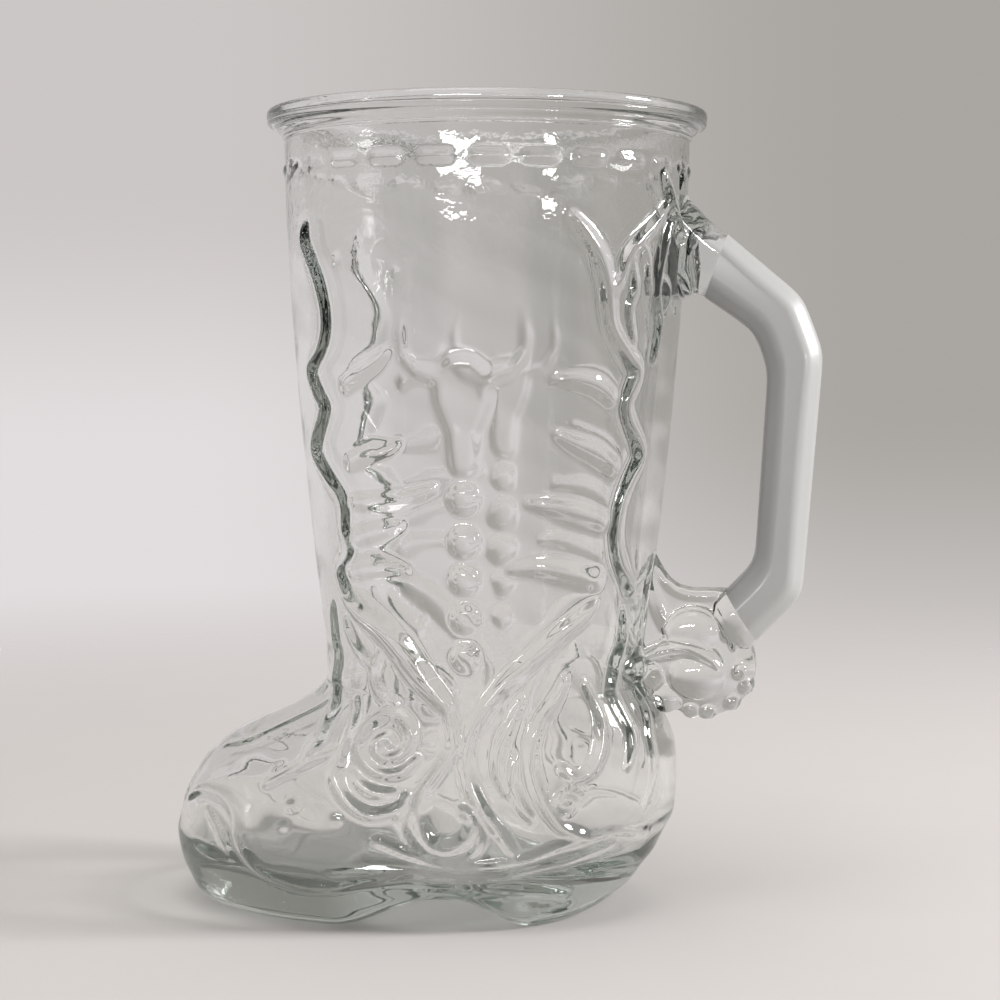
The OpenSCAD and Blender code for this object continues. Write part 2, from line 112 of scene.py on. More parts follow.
class HandleSizes(bpy.types.PropertyGroup):
    """Sizes of the handle and the spur."""

    handle_w: length("Handle width", "Across the handle's flat sides", cad_size("handle_grip", 1) / MM, 8, 16)
    bevel: length("Facet", "Flat cut off each long edge of the handle", 3.0, 1, 4)
    edge_round: length("Edge rounding", "Radius on the handle's facets", 1.3, 0.3, 3)
    corner_round: length("Corner rounding", "How softly the handle turns its corners", 1.9, 0.5, 5)
    rowel_d: length("Rowel width", "Across the spur's wheel without its lobes", 19, 14, 22)
    button_raise: length("Button height", "How far the round button stands out of the wheel", 1.8, 0.5, 3)
    spur_grain: length("Spur mesh size", "Cell size of the fused spur's mesh", 0.36, 0.2, 1)


class GlassColours(bpy.types.PropertyGroup):
    """Colours of the glass."""

    clear: colour("Clear glass", "Tint of the clear glass at each skin", (0.99, 0.992, 0.99))
    depth: colour("Depth tint", "Colour that light takes on deep in the glass", (0.80, 0.825, 0.808))
    density: FloatProperty(
        name="Depth density", description="How soon the depth tint shows", default=52, min=0, max=1000)
    frost: colour("Satin glass", "Colour of the handle's satin glass", (0.52, 0.522, 0.515))
    shade: colour("Shadow", "Light let straight through each skin on its way to the table", (0.975, 0.98, 0.977))
    shade_edge: colour("Shadow edge", "Light let through a skin that it only grazes", (0.30, 0.31, 0.305))


class StudioSettings(bpy.types.PropertyGroup):
    """Lamps, floor and backdrop."""

    floor: colour("Floor", "Colour of the floor", (0.595, 0.568, 0.552))
    backdrop: colour("Backdrop", "Colour of the backdrop's shaded side", (0.40, 0.38, 0.355))
    backdrop_light: colour("Backdrop glow", "Colour of the backdrop's brighter side", (0.76, 0.725, 0.73))
    key: lamp_power("Key lamp", "Power of the front lamp", 2.8)
    side: lamp_power("Side lamp", "Power of the side lamp", 1.6)
    room: FloatProperty(name="Room light", description="Strength of the room's even light", default=0.96, min=0, max=3)


def sizes(context):
    """The boot's sizes in millimetres, with the heights that the frame gives."""
    boot, grip = context.scene.glass_boot, context.scene.glass_boot_handle
    s = SimpleNamespace(
        leg_bow=1.6, toe_power=2.7, ball_swell=2.6, toe_tuck=11.0, heel_tuck=17.0, side_tuck=9.0,
        ankle_z=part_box("vamp_shell")[1][2] / MM, floor_z=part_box("vamp_shell")[0][2] / MM,
        leg_top_z=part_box("leg_wall")[1][2] / MM, waist_z=52.0,
        boot_h=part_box("rim_bead")[1][2] / MM, bead_d=cad_size("rim_bead", 0) / MM,
        collar_d=cad_size("rim_collar", 0) / MM, mouth_d=74.4, bead_z=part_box("rim_bead")[0][2] / MM,
        columns=boot.columns, stitch_count=boot.stitch_count,
    )
    for group in (boot, grip):
        for name in group.bl_rna.properties.keys():
            value = getattr(group, name)
            if isinstance(value, float):
                setattr(s, name, value / MM)
    return s


# ---- shape of the boot, in millimetres from the leg's axis, as in the part's source
FOOT_ROWS = np.array([
    # height, toe, heel, toe tuck, heel tuck, side tuck
    (0.0, 1.0, 1.0, 0.80, 1.00, 0.80),
    (0.6, 1.0, 1.0, 0.62, 0.91, 0.68),
    (1.2, 1.0, 1.0, 0.50, 0.84, 0.58),
    (3.0, 1.0, 1.0, 0.34, 0.68, 0.44),
    (6.0, 1.0, 1.0, 0.20, 0.50, 0.30),
    (7.5, 1.0, 1.0, 0.13, 0.43, 0.24),
    (9.0, 1.0, 1.0, 0.08, 0.36, 0.19),
    (11.7, 1.0, 1.0, 0.03, 0.25, 0.12),
    (14.4, 1.0, 1.0, 0.00, 0.17, 0.06),
    (16.02, 0.995, 1.0, 0.00, 0.12, 0.04),
    (19.44, 0.968, 1.0, 0.00, 0.03, 0.01),
    (23.04, 0.925, 1.0, 0.0, 0.0, 0.0),
    (26.28, 0.865, 1.0, 0.0, 0.0, 0.0),
    (29.16, 0.800, 0.99, 0.0, 0.0, 0.0),
    (31.68, 0.708, 0.95, 0.0, 0.0, 0.0),
    (33.84, 0.595, 0.88, 0.0, 0.0, 0.0),
    (35.82, 0.465, 0.78, 0.0, 0.0, 0.0),
    (37.80, 0.325, 0.64, 0.0, 0.0, 0.0),
    (39.78, 0.190, 0.46, 0.0, 0.0, 0.0),
    (41.76, 0.085, 0.27, 0.0, 0.0, 0.0),
    (43.56, 0.028, 0.10, 0.0, 0.0, 0.0),
    (45.0, 0.0, 0.0, 0.0, 0.0, 0.0),
])


def smooth_table(rows, at):
    """Columns of a table read at other heights, along a cubic through its rows."""
    z = rows[:, 0]
    found = []
    k = np.clip(np.searchsorted(z, at, side="right") - 1, 0, len(z) - 2)
    h = z[k + 1] - z[k]
    t = (at - z[k]) / h
    for c in range(1, rows.shape[1]):
        v = rows[:, c]
        d = np.diff(v) / np.diff(z)
        slope = np.zeros_like(v)
        both = d[:-1] * d[1:] > 0
        slope[1:-1][both] = 2 * d[:-1][both] * d[1:][both] / (d[:-1] + d[1:])[both]
        slope[0], slope[-1] = d[0], 0.0
        found.append(
            v[k] * (1 + 2 * t) * (1 - t) ** 2 + h * slope[k] * t * (1 - t) ** 2
            + v[k + 1] * t * t * (3 - 2 * t) + h * slope[k + 1] * t * t * (t - 1)
        )
    return np.stack(found, 1)


def leg_radius(s, z):
    """Radius of the leg's skin at a height."""
    waist = s.leg_waist_d / 2
    t = np.clip((z - s.waist_z) / (s.leg_top_z - s.waist_z), 0, 1)
    return waist + (s.leg_top_d / 2 - waist) * (1 - (1 - t) ** s.leg_bow)


def quarter(reach, half, power, swell, count):
    """A quarter of a ring from the side's middle to the toe or heel, evenly spaced."""
    turn = np.linspace(0, math.pi / 2, 500) ** 1.6 / (math.pi / 2) ** 0.6
    out = np.sin(turn) ** (2 / power)
    x = reach * out
    y = half * np.abs(np.cos(turn)) ** (2 / power) + swell * np.sin(math.pi * np.clip(out, 0, 1)) ** 2
    y[-1] = 0
    run = np.concatenate([[0], np.cumsum(np.hypot(np.diff(x), np.diff(y)))])
    at = np.linspace(0, run[-1], count + 1)
    return np.interp(at, run, x), np.interp(at, run, y)


def half_grid(s, heights, cols):
    """The near side of the boot's bare skin: rows up, columns from toe to heel."""
    waist = s.leg_waist_d / 2
    table = smooth_table(FOOT_ROWS, np.clip(heights, 0, s.ankle_z))
    grid = np.zeros((len(heights), 2 * cols + 1, 3))
    for i, z in enumerate(heights):
        if z >= s.ankle_z:
            r = leg_radius(s, z)
            toe = heel = half = r
            power, swell = 2.0, 0.0
        else:
            row = table[i]
            toe = waist + (s.toe_reach - waist) * row[0] - s.toe_tuck * row[2]
            heel = waist + (s.heel_reach - waist) * row[1] - s.heel_tuck * row[3]
            half = waist + (s.foot_w / 2 - waist) * row[1] - s.side_tuck * row[4]
            power = 2 + (s.toe_power - 2) * row[0]
            swell = s.ball_swell * max(0, toe - waist) / (s.toe_reach - waist)
        x, y = quarter(toe, half, power, swell, cols)
        grid[i, :cols + 1] = np.stack([-x, -y, np.full(cols + 1, z)], 1)[::-1]
        x, y = quarter(heel, half, 2.0, 0.0, cols)
        grid[i, cols:] = np.stack([x, -y, np.full(cols + 1, z)], 1)
    return grid


def whole_ring(half, mirror=(1, -1, 1)):
    """The near half and its mirror image as closed rings, from the near side's middle."""
    cols = (half.shape[1] - 1) // 2
    far = half[:, ::-1] * np.array(mirror)
    return np.concatenate([half[:, cols:-1], far[:, :-1], half[:, :cols]], 1)


def tube_quads(ids):
    """Faces between closed rings of vertex numbers."""
    a, b = ids[:-1], ids[1:]
    return np.stack([a, np.roll(a, -1, 1), np.roll(b, -1, 1), b], -1).reshape(-1, 4)


def ring_normals(grid):
    """Outward normals of closed rings."""
    along = np.roll(grid, -1, 1) - np.roll(grid, 1, 1)
    up = np.gradient(grid, axis=0)
    n = np.cross(along, up)
    return n / np.maximum(np.linalg.norm(n, axis=2, keepdims=True), 1e-9)


# ---- pressed ornament: strokes of (share of the way from the side's middle to the toe, below
# zero, or the heel, above it; height; half width), traced on the boot's skin
ROUND, FLAT, RIBBON, LEAF = range(4)
STROKES = {
    "front scallops": (RIBBON, 1.3, [
        (-0.60, 133, 0.5), (-0.60, 129, 1.3), (-0.532, 122, 1.5), (-0.507, 115, 1.5), (-0.54, 110, 1.3),
        (-0.615, 106, 1.2), (-0.57, 100.4, 1.4), (-0.55, 98.2, 1.5), (-0.635, 91, 1.3), (-0.55, 85.1, 1.6),
        (-0.485, 81.2, 1.6), (-0.485, 76.1, 1.4), (-0.472, 72.2, 1.7), (-0.535, 67.9, 1.4), (-0.50, 63, 1.0)]),
    "back scallops": (RIBBON, 1.3, [
        (0.33, 134, 0.6), (0.38, 130.5, 1.2), (0.435, 125.5, 1.5), (0.465, 119, 1.4), (0.485, 113.7, 1.2),
        (0.565, 108.3, 1.5), (0.608, 105.7, 1.4), (0.568, 100.4, 1.3), (0.585, 96.6, 1.4), (0.665, 90.5, 1.5),
        (0.618, 86, 1.4), (0.578, 81, 1.3), (0.57, 75.5, 1.4), (0.60, 70.4, 1.5), (0.69, 64.5, 1.2)]),
    "chevron, front arm": (RIBBON, 1.2, [
        (-0.54, 64.6, 0.9), (-0.465, 61.6, 1.8), (-0.338, 58, 2.2), (-0.258, 54.4, 2.3), (-0.192, 50.5, 2.1),
        (-0.138, 47.3, 1.7), (-0.072, 44, 1.1)]),
    "chevron, back arm": (FLAT, 0.9, [
        (0.50, 62.6, 0.8), (0.455, 60.6, 1.4), (0.345, 56.7, 1.7), (0.235, 51.9, 1.6), (0.145, 48, 1.4),
        (0.075, 44.2, 1.1)]),
    "hook stem": (ROUND, 1.15, [
        (-0.072, 44, 1.1), (-0.045, 39.5, 1.2), (-0.04, 35.5, 1.3), (-0.078, 30.8, 1.3), (-0.108, 27.1, 1.4),
        (-0.118, 22.5, 1.6), (-0.088, 17.9, 1.7), (-0.04, 16.8, 1.7), (0.008, 19.1, 1.6), (0.026, 22.1, 1.4),
        (-0.008, 24.4, 0.9)]),
    "hook rim": (ROUND, 0.8, [
        (-0.152, 26.8, 0.7), (-0.158, 24.8, 0.9), (-0.148, 20, 1.0), (-0.108, 16.0, 1.0), (-0.048, 14.4, 1.0),
        (0.022, 16.0, 0.9), (0.052, 20.3, 0.9), (0.03, 24.4, 0.7)]),
    "long curve": (ROUND, 1.1, [
        (0.075, 44.2, 1.1), (0.03, 40.5, 1.2), (0.006, 37, 1.4), (-0.002, 33.8, 1.4), (0.018, 28.5, 1.4),
        (0.062, 23.8, 1.3), (0.128, 19.2, 1.1), (0.165, 16.2, 0.8)]),
    "front scroll": (ROUND, 1.1, [
        (-0.222, 36.3, 0.8), (-0.255, 37.6, 0.9), (-0.275, 36.5, 1.0), (-0.252, 34.5, 1.0), (-0.218, 33.6, 1.0),
        (-0.184, 34.8, 1.1), (-0.172, 37.5, 1.2), (-0.205, 40.3, 1.2), (-0.27, 41.7, 1.2), (-0.335, 40.3, 1.2),
        (-0.335, 36.8, 1.2), (-0.28, 33, 1.2), (-0.22, 30.9, 1.2), (-0.172, 31.2, 1.0), (-0.14, 33.6, 0.7)]),
    "front sweep": (ROUND, 1.1, [
        (-0.48, 43.7, 0.6), (-0.42, 40.1, 1.1), (-0.368, 35.8, 1.3), (-0.345, 30.3, 1.4), (-0.302, 26.0, 1.4),
        (-0.242, 23.2, 1.3), (-0.188, 23.6, 1.1), (-0.155, 25, 0.8)]),
    "front leaf": (ROUND, 0.8, [(-0.298, 31, 0.6), (-0.265, 28.5, 1.3), (-0.228, 27.3, 1.3), (-0.18, 27.2, 0.6)]),
    "back drop": (ROUND, 1.1, [
        (0.385, 48.5, 0.6), (0.345, 45, 1.0), (0.265, 40.3, 1.3), (0.228, 35.5, 1.4), (0.235, 29.6, 1.4),
        (0.28, 24.2, 1.4), (0.34, 20.5, 1.2), (0.42, 18.9, 0.8)]),
    "back drop, inner": (ROUND, 1.05, [
        (0.47, 47.5, 0.6), (0.512, 43.4, 1.1), (0.512, 39, 1.4), (0.49, 35.1, 1.4), (0.442, 31, 1.3),
        (0.38, 29.9, 1.1), (0.333, 31.8, 0.8)]),
    "back curl": (ROUND, 0.7, [
        (0.345, 25.5, 0.7), (0.362, 26.3, 0.8), (0.38, 25.2, 0.8), (0.362, 23.4, 0.8), (0.325, 23.3, 0.9),
        (0.298, 25.4, 0.9), (0.315, 27.8, 0.9), (0.36, 28.8, 0.8), (0.41, 27.5, 0.6)]),
    "heel flow": (ROUND, 1.1, [
        (0.66, 60, 0.7), (0.68, 55.5, 1.3), (0.648, 50.2, 1.7), (0.622, 45.8, 1.8), (0.632, 40.9, 1.8),
        (0.638, 36.1, 1.5), (0.598, 31.2, 0.9)]),
    "heel flow, back": (ROUND, 0.5, [
        (0.80, 44, 0.7), (0.81, 41, 1.2), (0.745, 35.8, 1.3), (0.735, 29.2, 1.2), (0.682, 23, 0.8)]),
    "middle leaf": (ROUND, 0.8, [
        (0.215, 45, 0.5), (0.155, 40.1, 1.0), (0.12, 36, 1.3), (0.11, 31.7, 1.1), (0.135, 27.3, 0.6)]),
    "middle leaf, low": (ROUND, 0.75, [(0.172, 34.4, 0.5), (0.155, 29.9, 1.1), (0.185, 25.4, 1.3), (0.225, 22.6, 0.7)]),
    "ankle fold": (ROUND, 1.1, [
        (-0.63, 61, 0.6), (-0.64, 54.5, 1.2), (-0.625, 50.5, 1.4), (-0.645, 45.5, 1.5), (-0.55, 40.4, 1.5),
        (-0.475, 36.2, 1.2), (-0.45, 33, 0.7)]),
    "ankle leaf": (ROUND, 0.9, [(-0.542, 58.4, 0.6), (-0.51, 55.7, 1.4), (-0.455, 52.7, 1.7), (-0.375, 50, 0.7)]),
    "ankle leaf, low": (ROUND, 0.7, [(-0.352, 53, 0.5), (-0.39, 48, 1.0), (-0.338, 44.6, 1.2), (-0.27, 43.9, 0.6)]),
    "toe wing": (ROUND, 0.9, [
        (-0.82, 21.8, 0.5), (-0.76, 24.0, 0.9), (-0.675, 24.2, 1.2), (-0.608, 22.3, 1.3), (-0.568, 16.0, 1.3),
        (-0.518, 11.1, 1.2), (-0.43, 9.1, 1.1), (-0.325, 8.8, 1.0), (-0.26, 10.0, 0.9), (-0.15, 11.5, 0.6)]),
    "toe leaf": (ROUND, 0.8, [(-0.70, 21.0, 0.5), (-0.655, 18.8, 1.3), (-0.622, 15.9, 1.6), (-0.605, 13.9, 0.8)]),
    "toe foot": (ROUND, 0.6, [(-0.732, 13.5, 0.6), (-0.685, 12.6, 1.0), (-0.642, 12.2, 1.0), (-0.588, 12.7, 0.6)]),
    "root leaf, front": (ROUND, 1.15, [
        (0.735, 137.6, 0.8), (0.66, 133.4, 1.3), (0.588, 130.2, 1.4), (0.535, 127.3, 1.3), (0.51, 123.1, 1.3),
        (0.472, 120.4, 1.4), (0.46, 117.5, 1.5), (0.488, 113.3, 1.5), (0.552, 109.5, 1.2)]),
    "root leaf, tongue": (ROUND, 1.0, [
        (0.65, 120.7, 0.6), (0.632, 125.1, 1.0), (0.608, 128.6, 1.1), (0.57, 128.7, 1.1), (0.555, 126.1, 1.0),
        (0.575, 121.5, 1.1), (0.555, 117.4, 1.1), (0.582, 111.3, 0.7)]),
    "root leaf, back": (ROUND, 1.1, [
        (0.768, 135.5, 0.7), (0.732, 130.6, 1.3), (0.702, 125.7, 1.4), (0.69, 120.7, 1.4), (0.72, 114.6, 1.2),
        (0.70, 108, 0.8)]),
    "root stem": (ROUND, 1.3, [(0.70, 142.6, 0.6), (0.732, 139.7, 1.6), (0.77, 136.0, 2.4), (0.84, 132, 2.6)]),
    "root drop": (ROUND, 0.9, [(0.72, 123.1, 0.7), (0.765, 121.0, 1.6), (0.755, 118.1, 0.7)]),
    "welt": (ROUND, 0.75, [
        (-0.215, 18.2, 0.5), (-0.13, 15.5, 0.8), (-0.04, 13.6, 0.9), (0.12, 14.2, 0.9), (0.245, 15.3, 0.9),
        (0.368, 17.6, 0.8), (0.555, 18.9, 0.8), (0.745, 17.1, 0.6)]),
    "welt, low": (ROUND, 0.7, [
        (-0.34, 11.4, 0.5), (-0.225, 12.4, 0.9), (-0.118, 12.0, 0.9), (-0.035, 11.4, 0.8), (0.122, 11.6, 0.8),
        (0.238, 13, 0.8), (0.418, 14.7, 0.6)]),
    "instep seam": (ROUND, 0.8, [(-0.022, 13.4, 0.6), (-0.012, 10.7, 1.0), (-0.004, 7.4, 0.8)]),
    "heel line": (ROUND, 0.6, [(0.032, 9.8, 0.5), (0.128, 9, 0.9), (0.272, 8.2, 0.9), (0.432, 6.6, 0.6)]),
    "heel line, high": (ROUND, 0.6, [(0.35, 13.6, 0.5), (0.46, 15.4, 0.9), (0.56, 16.6, 0.6)]),
    "vamp ridge": (ROUND, 0.35, [
        (-0.82, 32.0, 0.5), (-0.738, 34.4, 0.9), (-0.698, 38.1, 0.9), (-0.652, 42.2, 0.6)]),
    "vamp edge": (ROUND, 0.5, [(-0.532, 27.1, 0.6), (-0.468, 30.3, 1.0), (-0.418, 33, 1.0), (-0.372, 34.4, 0.6)]),
    "back fringe 1": (LEAF, 0.8, [(0.29, 104.3, 0.6), (0.362, 104.3, 1.4), (0.44, 103.2, 2.0), (0.50, 101, 1.7)]),
    "back fringe 2": (LEAF, 0.8, [(0.308, 94.3, 0.6), (0.372, 92.6, 1.5), (0.448, 90.9, 2.1), (0.525, 88.4, 1.7)]),
    "back fringe 3": (LEAF, 0.8, [(0.215, 81.7, 0.6), (0.292, 81.1, 1.5), (0.388, 79.9, 2.2), (0.495, 78, 1.9)]),
    "back fringe 4": (LEAF, 0.8, [(0.162, 69.5, 0.6), (0.252, 69.8, 1.4), (0.35, 69, 2.2), (0.488, 67, 2.1)]),
    "front fringe 1": (LEAF, 0.8, [
        (-0.248, 109.3, 0.6), (-0.288, 107.5, 1.4), (-0.345, 105.8, 1.8), (-0.42, 103.4, 1.5)]),
    "front fringe 2": (LEAF, 0.8, [(-0.215, 92.7, 0.6), (-0.262, 91.5, 1.4), (-0.33, 90.7, 1.9), (-0.42, 88.9, 1.6)]),
    "front fringe 3": (LEAF, 0.8, [
        (-0.09, 84.6, 0.5), (-0.15, 83.4, 1.2), (-0.23, 82.2, 1.7), (-0.332, 81.6, 1.6), (-0.418, 81.4, 1.2)]),
    "front fringe 4": (LEAF, 0.7, [(-0.222, 77.6, 0.6), (-0.282, 76.7, 1.3), (-0.358, 75.6, 1.8), (-0.44, 74.2, 1.5)]),
    "front fringe 5": (LEAF, 0.8, [(-0.205, 68.9, 0.6), (-0.265, 69.5, 1.4), (-0.345, 69.4, 2.0), (-0.46, 68, 1.7)]),
    "spur strap": (FLAT, 1.0, [
        (0.715, 48.6, 0.6), (0.76, 48.8, 1.8), (0.82, 48.8, 2.5), (0.90, 48.6, 2.6), (1.0, 48.5, 2.6)]),
}
# Round studs and small drops: share, height, radius
STUDS = [(0.0, 82.6, 3.0), (0.0, 74.6, 3.0), (0.0, 67.6, 2.8), (0.0, 60.4, 2.7), (0.0, 53.1, 2.7)]
DROPS = [
    (-0.432, 125.9, 1.1), (-0.52, 30.9, 0.8), (-0.46, 31.6, 0.8), (-0.438, 24, 1.2), (-0.445, 20.2, 0.9),
    (-0.31, 22, 0.8),
]
# Half of the steer's skull: shares of its width and height, from the crown down
SKULL = [
    (0.00, 0.73), (0.09, 0.72), (0.19, 0.65), (0.34, 0.68), (0.43, 0.76), (0.44, 1.00), (0.50, 0.84), (0.47, 0.68),
    (0.36, 0.58), (0.23, 0.54), (0.22, 0.44), (0.13, 0.26), (0.11, 0.06), (0.06, 0.00), (0.00, 0.00),
]
SKULL_W, SKULL_H, SKULL_Z = 25.0, 31.0, 86.5
# Height of the skull as a share of the relief, and how wide its sloping edge is
SKULL_LIFT, SKULL_EDGE = 0.62, 2.0
# Stitches under the lip: height, half length of the straight part, reach and width of the rounded edge
STITCH_Z, STITCH_HALF, STITCH_REACH, STITCH_EDGE = 144.3, 2.4, 1.05, 0.7
# How much wider than its table each kind of stroke is drawn
SPREAD = {ROUND: 1.15, FLAT: 1.15, RIBBON: 1.65, LEAF: 1.25}


def through(points, step=0.25):
    """A smooth line through points, with their last value carried along."""
    p = np.array(points, float)
    p = np.vstack([2 * p[0] - p[1], p, 2 * p[-1] - p[-2]])
    line = []
    for a, b, c, d in zip(p[:-3], p[1:-2], p[2:-1], p[3:]):
        t = np.arange(0, 1, step)[:, None]
        line.append(0.5 * (2 * b + (c - a) * t + (2 * a - 5 * b + 4 * c - d) * t**2 + (3 * b - a - 3 * c + d) * t**3))
    return np.vstack(line + [p[-2:-1]])


def nearest_on_line(points, line, widths):
    """Distance to a line in half widths of the line there, and in millimetres from its edge."""
    best = np.full(len(points), 1e9)
    edge = np.full(len(points), -1e9)
    for a, b, wa, wb in zip(line[:-1], line[1:], widths[:-1], widths[1:]):
        ab = b - a
        t = np.clip(((points - a) @ ab) / max(ab @ ab, 1e-9), 0, 1)
        d = np.linalg.norm(points - a - t[:, None] * ab, axis=1)
        w = wa + (wb - wa) * t
        best = np.minimum(best, d / w)
        edge = np.maximum(edge, w - d)
    return best, edge


def smoothstep(x):
    """Rises smoothly from 0 at 0 to 1 at 1."""
    x = np.clip(x, 0, 1)
    return x * x * (3 - 2 * x)


def inside_outline(points, outline):
    """Signed distance into a closed flat outline, below zero outside it."""
    best = np.full(len(points), 1e9)
    odd = np.zeros(len(points), bool)
    for a, b in zip(outline, np.roll(outline, -1, 0)):
        ab = b - a
        t = np.clip(((points - a) @ ab) / max(ab @ ab, 1e-9), 0, 1)
        best = np.minimum(best, np.linalg.norm(points - a - t[:, None] * ab, axis=1))
        crosses = (a[1] > points[:, 1]) != (b[1] > points[:, 1])
        with np.errstate(divide="ignore", invalid="ignore"):
            at = a[0] + (points[:, 1] - a[1]) * ab[0] / ab[1]
        odd ^= crosses & (points[:, 0] < at)
    return np.where(odd, best, -best)


def relief_map(s, grid, heights):
    """Height of the pressed ornament over the near half of the skin."""
    rows, cols, _ = grid.shape
    share = np.linspace(-1, 1, cols)
    flat = grid.reshape(-1, 3)
    raised = np.zeros(rows * cols)

    def on_skin(places):
        """Points on the skin at pairs of share and height."""
        q = (places[:, 0] + 1) / 2 * (cols - 1)
        i = np.interp(places[:, 1], heights, np.arange(rows))
        q0, i0 = np.clip(q.astype(int), 0, cols - 2), np.clip(i.astype(int), 0, rows - 2)
        tq, ti = (q - q0)[:, None], (i - i0)[:, None]
        low = grid[i0, q0] * (1 - tq) + grid[i0, q0 + 1] * tq
        high = grid[i0 + 1, q0] * (1 - tq) + grid[i0 + 1, q0 + 1] * tq
        return low * (1 - ti) + high * ti

    def near(line, reach):
        """Numbers of the skin's points close to a line."""
        return np.flatnonzero(np.all((flat > line.min(0) - reach) & (flat < line.max(0) + reach), axis=1))

    for kind, lift, points in STROKES.values():
        run = through(points)
        line, widths = on_skin(run[:, :2]), np.maximum(run[:, 2], 0.3) * SPREAD[kind]
        pick = near(line, widths.max() + 0.6)
        far, edge = nearest_on_line(flat[pick], line, widths)
        if kind == FLAT:
            bump = smoothstep((edge + 0.1) / 1.0)
        elif kind == LEAF:
            bump = 0.9 * np.clip(1 - far, 0, 1) ** 0.8
        else:
            bump = np.clip(1 - far**2, 0, 1) ** 1.5
        raised[pick] = np.maximum(raised[pick], bump * lift * s.relief)
    for q, z, r in STUDS + DROPS:
        centre = on_skin(np.array([[q, z]]))
        pick = near(centre, r + 1)
        d = np.linalg.norm(flat[pick] - centre, axis=1) / r
        raised[pick] = np.maximum(raised[pick], s.relief * min(1, r / 2.4) * np.sqrt(np.clip(1 - d**2.4, 0, 1)))
    # the steer's skull, laid out flat round the leg
    around = share[None, :] * np.pi / 2 * np.hypot(grid[..., 0], grid[..., 1])
    spread = np.stack([np.abs(around), np.repeat(heights[:, None], cols, 1)], 2).reshape(-1, 2)
    outline = np.array(SKULL) * (SKULL_W, SKULL_H) + (0, SKULL_Z)
    whole = np.vstack([outline, outline[-2:0:-1] * (-1, 1)])
    level = np.abs(spread[:, 1] - SKULL_Z - SKULL_H / 2)
    pick = np.flatnonzero((spread[:, 0] < SKULL_W / 2 + 2) & (level < SKULL_H / 2 + 2))
    depth = inside_outline(spread[pick], whole)
    raised[pick] = np.maximum(raised[pick], SKULL_LIFT * s.relief * smoothstep((depth + 0.5) / SKULL_EDGE))
    raised = raised.reshape(rows, cols)
    return raised + stitches(s, grid, heights)


def stitches(s, grid, heights):
    """Raised dashes round the leg under the lip."""
    turn = np.linspace(-1, 1, grid.shape[1]) / 4
    one = 1 / s.stitch_count
    off = (np.mod(turn / one, 1) - 0.5) * one * math.pi * s.leg_top_d
    d = np.hypot(np.maximum(np.abs(off)[None, :] - STITCH_HALF, 0), heights[:, None] - STITCH_Z)
    return s.stitch_raise * smoothstep((STITCH_REACH - d) / STITCH_EDGE)


def swirl(grid, depth):
    """Slow waves that pressing leaves in a glass skin."""
    x, y, z = (grid[..., k] for k in range(3))
    return depth * (
        np.sin(0.42 * x + 0.9 * np.sin(0.11 * z) + 1.3) * np.sin(0.31 * z + 0.5 * np.sin(0.23 * x))
        + 0.6 * np.sin(0.77 * z + 0.35 * x + 0.8 * np.sin(0.29 * y + 0.2))
    )


def soften(field, rounds):
    """Rounds off a map over the skin."""
    for _ in range(rounds):
        wide = np.pad(field, 1, mode="edge")
        field = (
            4 * wide[1:-1, 1:-1] + 2 * (wide[:-2, 1:-1] + wide[2:, 1:-1] + wide[1:-1, :-2] + wide[1:-1, 2:])
            + wide[:-2, :-2] + wide[2:, 2:] + wide[:-2, 2:] + wide[2:, :-2]
        ) / 16
    return field


# ---- meshes
class Skin:
    """Grids of points that grow into one closed mesh, with a smooth normal at each point.

    Faces in slot 1 are joints, which lie inside the glass.
    """

    def __init__(self):
        self.points, self.normals, self.faces, self.slots = [], [], [], []
        self.count = 0

    def add(self, grid, normals):
        """Takes a grid of points in; returns the numbers of its vertices."""
        ids = self.count + np.arange(grid.shape[0] * grid.shape[1]).reshape(grid.shape[:2])
        self.points.append(grid.reshape(-1, 3))
        self.normals.append(normals.reshape(-1, 3))
        self.count += ids.size
        return ids

    def quads(self, ids, closed=False, flip=False, slot=0):
        """Faces over a grid of vertex numbers: along its columns first, then up."""
        a, b = ids[:-1], ids[1:]
        q = tube_quads(ids) if closed else np.stack([a[:, :-1], a[:, 1:], b[:, 1:], b[:, :-1]], -1).reshape(-1, 4)
        self.faces += (q[:, ::-1] if flip else q).tolist()
        self.slots += [slot] * len(q)

    def fan(self, ring, centre, normal, flip=False, slot=0):
        """Closes a ring of vertices to a point."""
        tip = self.add(np.array(centre, float).reshape(1, 1, 3), np.array(normal, float).reshape(1, 1, 3))[0, 0]
        for a, b in zip(ring, np.roll(ring, -1)):
            self.faces.append([b, a, tip] if flip else [a, b, tip])
            self.slots.append(slot)

    def build(self, name, materials):
        return mesh_object(name, np.vstack(self.points), self.faces, materials, self.slots, np.vstack(self.normals))


def mesh_data(name, points, faces, materials, slots=None, normals=None):
    """A mesh from points in millimetres round the leg's axis."""
    mesh = bpy.data.meshes.new(name)
    mesh.from_pydata(((points + (LEG_X, 0, 0)) * MM).tolist(), [], faces)
    for material in materials:
        mesh.materials.append(material)
    mesh.shade_smooth()
    if slots is not None:
        mesh.polygons.foreach_set("material_index", np.array(slots, np.int32))
    if normals is not None:
        corner = np.zeros(len(mesh.loops), np.int32)
        mesh.loops.foreach_get("vertex_index", corner)
        mesh.normals_split_custom_set(normals[corner].tolist())
    if mesh.validate(clean_customdata=False):
        raise RuntimeError(f"{name} has faces that Blender had to mend")
    return mesh


def mesh_object(name, points, faces, materials, slots=None, normals=None):
    """A mesh object from points in millimetres round the leg's axis."""
    obj = bpy.data.objects.new(name, mesh_data(name, points, faces, materials, slots, normals))
    bpy.context.scene.collection.objects.link(obj)
    return obj


